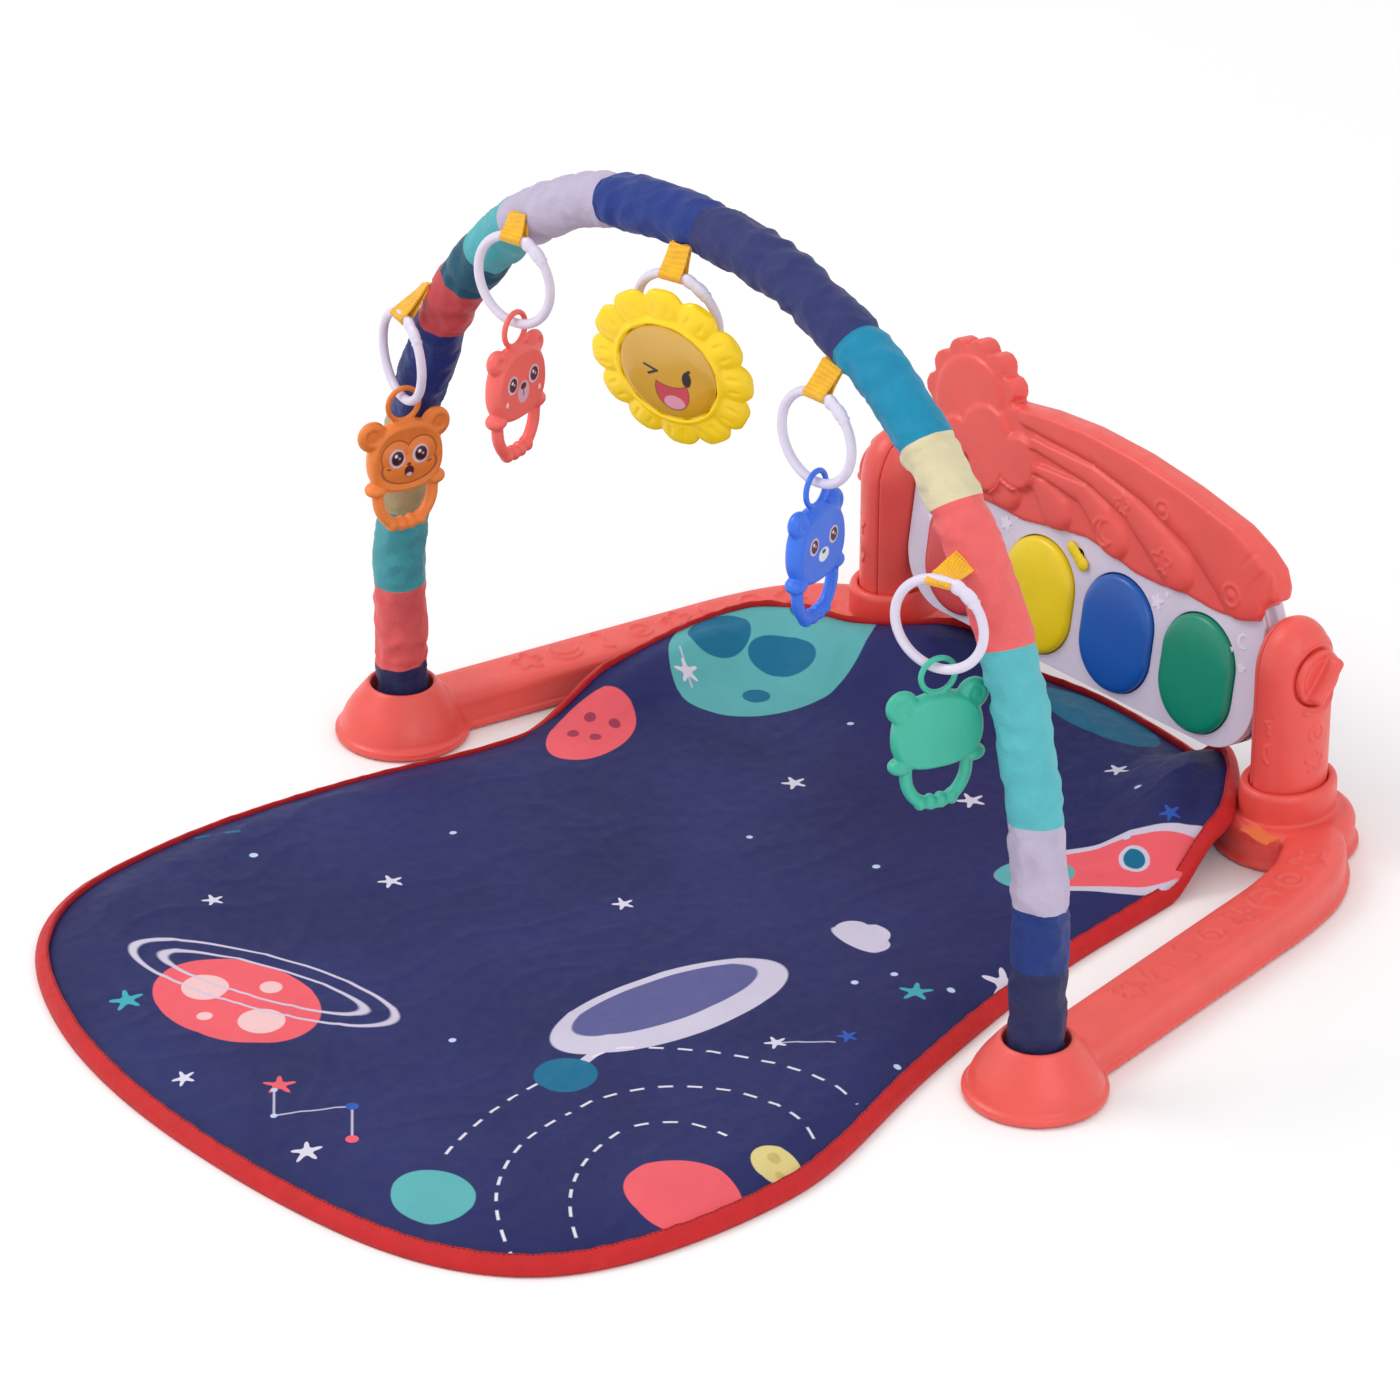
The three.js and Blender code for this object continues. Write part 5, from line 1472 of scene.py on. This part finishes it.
def mat_print():
    """Night sky with planets, dotted orbits and stars, printed on polyester cloth."""
    finish = Print("mat_fabric", sheen=0.0, shine=0.2)
    finish.plane("XY", scale=1.0385, origin=(10.9, ARCH_Y / 1.0385 - 9.6))
    teal, pale_teal, rose = "#0A6C90", "#5AAFB2", "#F0606A"
    lilac, blue, cream = "#CFC8DC", "#2B57B5", "#DCCB86"
    base = finish.ramp(finish.noise(120.0, 2.0), [(0.35, linear("#20245A")), (0.65, linear("#272D66"))])

    # large shapes near the piano
    colour = finish.paint(base, finish.oval(-176, 208, 52, 74, 14), pale_teal)
    colour = finish.paint(colour, finish.oval(-200, 188, 17, 22, 20).least(
        finish.oval(-166, 206, 20, 15, 30), finish.oval(-186, 244, 12, 9), finish.disc(-150, 172, 8)), teal)
    colour = finish.paint(colour, finish.oval(-178, 72, 22, 34, 20), rose)
    colour = finish.paint(colour, finish.disc(-182, 62, 3.4).least(
        finish.disc(-172, 70, 3.4), finish.disc(-186, 78, 3.4), finish.disc(-174, 86, 3.4)), "#A23A55")
    colour = finish.paint(colour, finish.oval(-8, 306, 46, 20), teal)

    # rocket by the right-hand binding
    body = finish.oval(124, 186, 52, 19, 58)
    colour = finish.paint(colour, body - 4.5, lilac)
    colour = finish.paint(colour, body, rose)
    colour = finish.paint(colour, finish.oval(102, 150, 22, 16, 58), pale_teal)
    colour = finish.paint(colour, finish.disc(130, 198, 8.5), lilac)
    colour = finish.paint(colour, finish.disc(130, 198, 6), teal)

    # ringed planet
    colour = finish.paint(colour, finish.oval(-75, -260, 50, 37, 8), rose)
    colour = finish.paint(colour, finish.disc(-97, -264, 12.5).least(
        finish.disc(-50, -263, 12.5), finish.disc(-74, -282, 4.2), finish.disc(-74, -238, 6)), "#F4C5C6")
    for reach, depth in ((80, 25), (62, 15)):
        around = finish.oval(-81, -238, reach, depth, 20)
        colour = finish.paint(colour, around.op("ABSOLUTE") - 0.8, lilac)

    # other planets and the pale ring
    colour = finish.paint(colour, finish.oval(218, -205, 31, 27, 20), rose)
    colour = finish.paint(colour, finish.oval(226, -150, 14, 12), cream)
    colour = finish.paint(colour, finish.disc(222, -148, 3.5).least(finish.disc(232, -153, 2.4)), "#C8B56A")
    colour = finish.paint(colour, finish.oval(138, -301, 23, 20), pale_teal)
    ring = finish.oval(78, -92, 73, 31, 84)
    colour = finish.paint(colour, ring, lilac)
    colour = finish.paint(colour, finish.oval(72, -90, 58, 20, 84), "#5B5C93")
    colour = finish.paint(colour, finish.stroke(93, -168, 88, -150, 3.0), lilac)
    cloud = finish.disc(82, 34, 10).least(finish.disc(92, 36, 12), finish.disc(102, 32, 8),
                                          finish.oval(91, 28, 18, 6))
    colour = finish.paint(colour, cloud, lilac)

    # dashed orbits, each bending round and running to the front edge
    orbits = finish.dashes(*arc_through(*ORBITS[0][:3]), 0.8, 15)
    for points in ORBITS:
        orbits = orbits.least(finish.dashes(*arc_through(*points[:3]), 0.8, 15),
                              finish.dashes(*arc_through(*points[2:]), 0.8, 15))
    colour = finish.paint(colour, orbits, "#E4E0EE")
    colour = finish.paint(colour, finish.disc(95, -178, 16.5), teal)

    # constellation
    links = finish.stroke(8, -300, 27, -315, 0.55).least(
        finish.stroke(27, -315, 47, -280, 0.55), finish.stroke(47, -280, 72, -300, 0.55),
        finish.stroke(-198, 156, -176, 146, 0.5), finish.stroke(142, -75, 162, -52, 0.5),
        finish.stroke(170, 63, 188, 84, 0.5), finish.stroke(188, 84, 178, 100, 0.5))
    colour = finish.paint(colour, links, "#C9C5DC", 0.8)
    colour = finish.paint(colour, finish.star(6, -295, 8.5, 70).least(finish.disc(72, -300, 3.4)), rose)
    colour = finish.paint(colour, finish.disc(47, -280, 3.4).least(
        finish.star(162, -43, 5.5), finish.star(122, 233, 6), finish.star(-217, 107, 10, 40)), blue)
    colour = finish.paint(colour, finish.star(-115, -302, 9, 80).least(
        finish.star(152, 15, 9, 60), finish.disc(-60, 250, 5)), "#3FA8B4")
    stars = finish.star(64, -323, 8, 70).least(
        finish.star(-34, -326, 6), finish.star(-167, -205, 6), finish.star(142, -75, 6),
        finish.star(170, 63, 12, 75), finish.star(48, 266, 7), finish.star(-185, 150, 7),
                                               finish.star(-120, -120, 7),
        finish.star(-60, 120, 7), finish.star(20, 180, 8), finish.star(-20, -40, 6))
    colour = finish.paint(colour, stars, "#D9D4E6")
    dots = finish.disc(124, -3, 2).least(
        finish.disc(131, 19, 2), finish.disc(162, 31, 2.2), finish.disc(195, -38, 2),
                                         finish.disc(-192, -158, 2.4),
        finish.disc(115, 207, 2.2), finish.disc(27, -315, 1.8), finish.disc(-140, -60, 2),
                                         finish.disc(40, 90, 2.2),
        finish.disc(-90, 190, 2), finish.disc(-30, 60, 1.8), finish.disc(30, -200, 2),
                                         finish.disc(-150, -330, 2.2),
        finish.disc(8, -300, 1.8), finish.disc(80, 250, 2), finish.disc(150, 110, 2))
    colour = finish.paint(colour, dots, "#BFD3EE")
    trail = finish.dashes(-120, -260, 150, 128, 160, 1.6, 17)
    colour = finish.paint(colour, trail, teal)

    shade = finish.ramp(finish.noise(46.0, 3.0, seed=1.0), [(0.3, (0.9, 0.9, 0.92, 1)), (0.7, (1, 1, 1, 1))])
    finish.gloss(0.5, 0.66)
    finish.weave(1.0, 0.12)
    finish.bump(finish.noise(7.0, 3.0), 0.25)
    finish.bump(finish.noise(24.0, 2.0, seed=4.0), 0.8)
    return finish.done(finish.mix(1.0, colour, shade, "MULTIPLY"))


def binding_tape():
    """Red tape with a line of stitches near its inner edge."""
    finish = Finish("binding_red", sheen=0.03, shine=0.3)
    split = finish.node("ShaderNodeSeparateXYZ")
    finish.tree.links.new(finish.uv_space, split.inputs[0])
    along, across = Field(finish.tree, split.outputs[0]), Field(finish.tree, split.outputs[1])
    row = ((across * (1 / MM)) - 13.4).op("ABSOLUTE") - 0.45
    dash = (along * (2 * math.pi / (3.2 * MM))).op("SINE") * -1.0 - 0.35
    stitch = row.most(dash * 0.6)
    share = (stitch * -4.0 + 0.5).op("MAXIMUM", 0.0).op("MINIMUM", 1.0)
    finish.gloss(0.5, 0.66)
    finish.weave(0.9, 0.22, finish.uv_space)
    finish.bump(finish.noise(4.5, 3.0), 0.6)
    finish.bump(share.socket, 0.5)
    return finish.done(finish.mix(share.socket, finish.cloudy("#C81E22", 14.0, 0.08), linear("#96141A")))


mat = settled(build_mat(), "frame", "mat_fabric", mat_print(), "play_mat")
binding = settled(build_binding(), "frame", "mat_fabric", binding_tape())


def build_strap(side, node):
    """Short tape from under the mat's binding to the base, with a fold in it."""
    box_low, box_high = low(node), high(node)
    length = box_high.x - box_low.x
    middle_y = (box_low.y + box_high.y) / 2
    start = box_low.x if side > 0 else box_high.x
    rings = []
    for i in range(25):
        share = i / 24
        x = start + side * length * share
        y = middle_y - 0.75 + 1.5 * share * -1
        rise = box_low.z + 0.5 + 0.5 * math.sin(share * 7) + 0.5 * share
        rings.append([(x, y + w, rise + 0.25 * math.sin(w + 4 * share) + t)
                      for w, t in ((-5.4, 0), (-2.7, 0), (0, 0), (2.7, 0), (5.4, 0),
                                   (5.4, 0.9), (2.7, 0.9), (0, 0.9), (-2.7, 0.9), (-5.4, 0.9))])
    return make(node + "_tape", loft(rings), smooth=False)


for side, name in ((1, "right"), (-1, "left")):
    node = "mat_strap_" + name
    settled(build_strap(side, node), "frame", "orange_webbing", strap_webbing, node)


# ---------------------------------------------------------------- CAD pieces that show as they are
def cell_wrap():
    finish = Print("cell_wrap")
    colour = finish.ramp(finish.noise(9.0), [(0.3, linear("#26282E")), (0.7, linear("#34373F"))])
    finish.gloss(0.3, 0.45)
    return finish.done(colour)


def board_finish():
    finish = Finish("board_green")
    tracks = finish.ramp(finish.noise(3.0, 1.0), [(0.46, linear("#1E6B3C")), (0.5, linear("#2F8A50")),
                                                   (0.54, linear("#1E6B3C"))])
    finish.gloss(0.35, 0.5)
    return finish.done(tracks)


dark = moulded("dark_plastic", "#2B2B31", gloss=(0.5, 0.65), grain=0.1, coat=0.0, soft=0.0)
CAD_FINISHES = {
    "rail_cover_right": coral, "rail_cover_left": coral, "front_pad_right": rubber, "front_pad_left": rubber,
    "rear_pad_right": rubber, "rear_pad_left": rubber, "cover_screw_right": steel, "cover_screw_left": steel,
    "pivot_pin_right": steel, "pivot_pin_left": steel, "battery_door": white, "battery_screw": steel,
    "battery_1": cell_wrap(), "battery_2": cell_wrap(), "battery_3": cell_wrap(),
                "circuit_board": board_finish(),
    "speaker": dark, "arch_tube_left": moulded("tube_plastic", "#E3E2E6"), "ferrule_left": steel,
    "ferrule_right": steel,
}
CAD_FINISHES["arch_tube_top"] = CAD_FINISHES["arch_tube_right"] = CAD_FINISHES["arch_tube_left"]
for node, material in CAD_FINISHES.items():
    data = frame["nodes"][node].data
    data.materials.clear()
    data.materials.append(material)


# ---------------------------------------------------------------- studio
def add_studio():
    """Pale floor, and soft light from two large lamps and the sky."""
    floor = make("floor", ([(-6000, -6000, -0.3), (6000, -6000, -0.3), (6000, 6000, -0.3),
                            (-6000, 6000, -0.3)],
                           [(0, 1, 2, 3)]), smooth=False)
    finish = Finish("floor_pale")
    finish.gloss(0.8, 0.9, size=60)
    floor.data.materials.append(finish.done(finish.cloudy("#FBFBFB", 400.0, 0.003)))
    world = bpy.data.worlds.new("studio")
    scene.world = world
    world.use_nodes = True
    sky = world.node_tree.nodes["Background"]
    sky.inputs["Color"].default_value = (1, 1, 1, 1)
    sky.inputs["Strength"].default_value = 0.86
    for name, spot, size, power in (("key", (-1.6, -1.5, 2.6), 1.6, 34), ("fill", (2.6, -0.6, 1.7), 1.8, 14)):
        lamp = bpy.data.lights.new(name, "AREA")
        lamp.size = size
        lamp.energy = power
        holder = bpy.data.objects.new(name, lamp)
        aim = Vector((0, 0, 0.12)) - Vector(spot)
        holder.matrix_world = Matrix.Translation(spot) @ aim.to_track_quat("-Z", "Y").to_matrix().to_4x4()
        scene.collection.objects.link(holder)
    scene.view_settings.view_transform = "Standard"


add_studio()
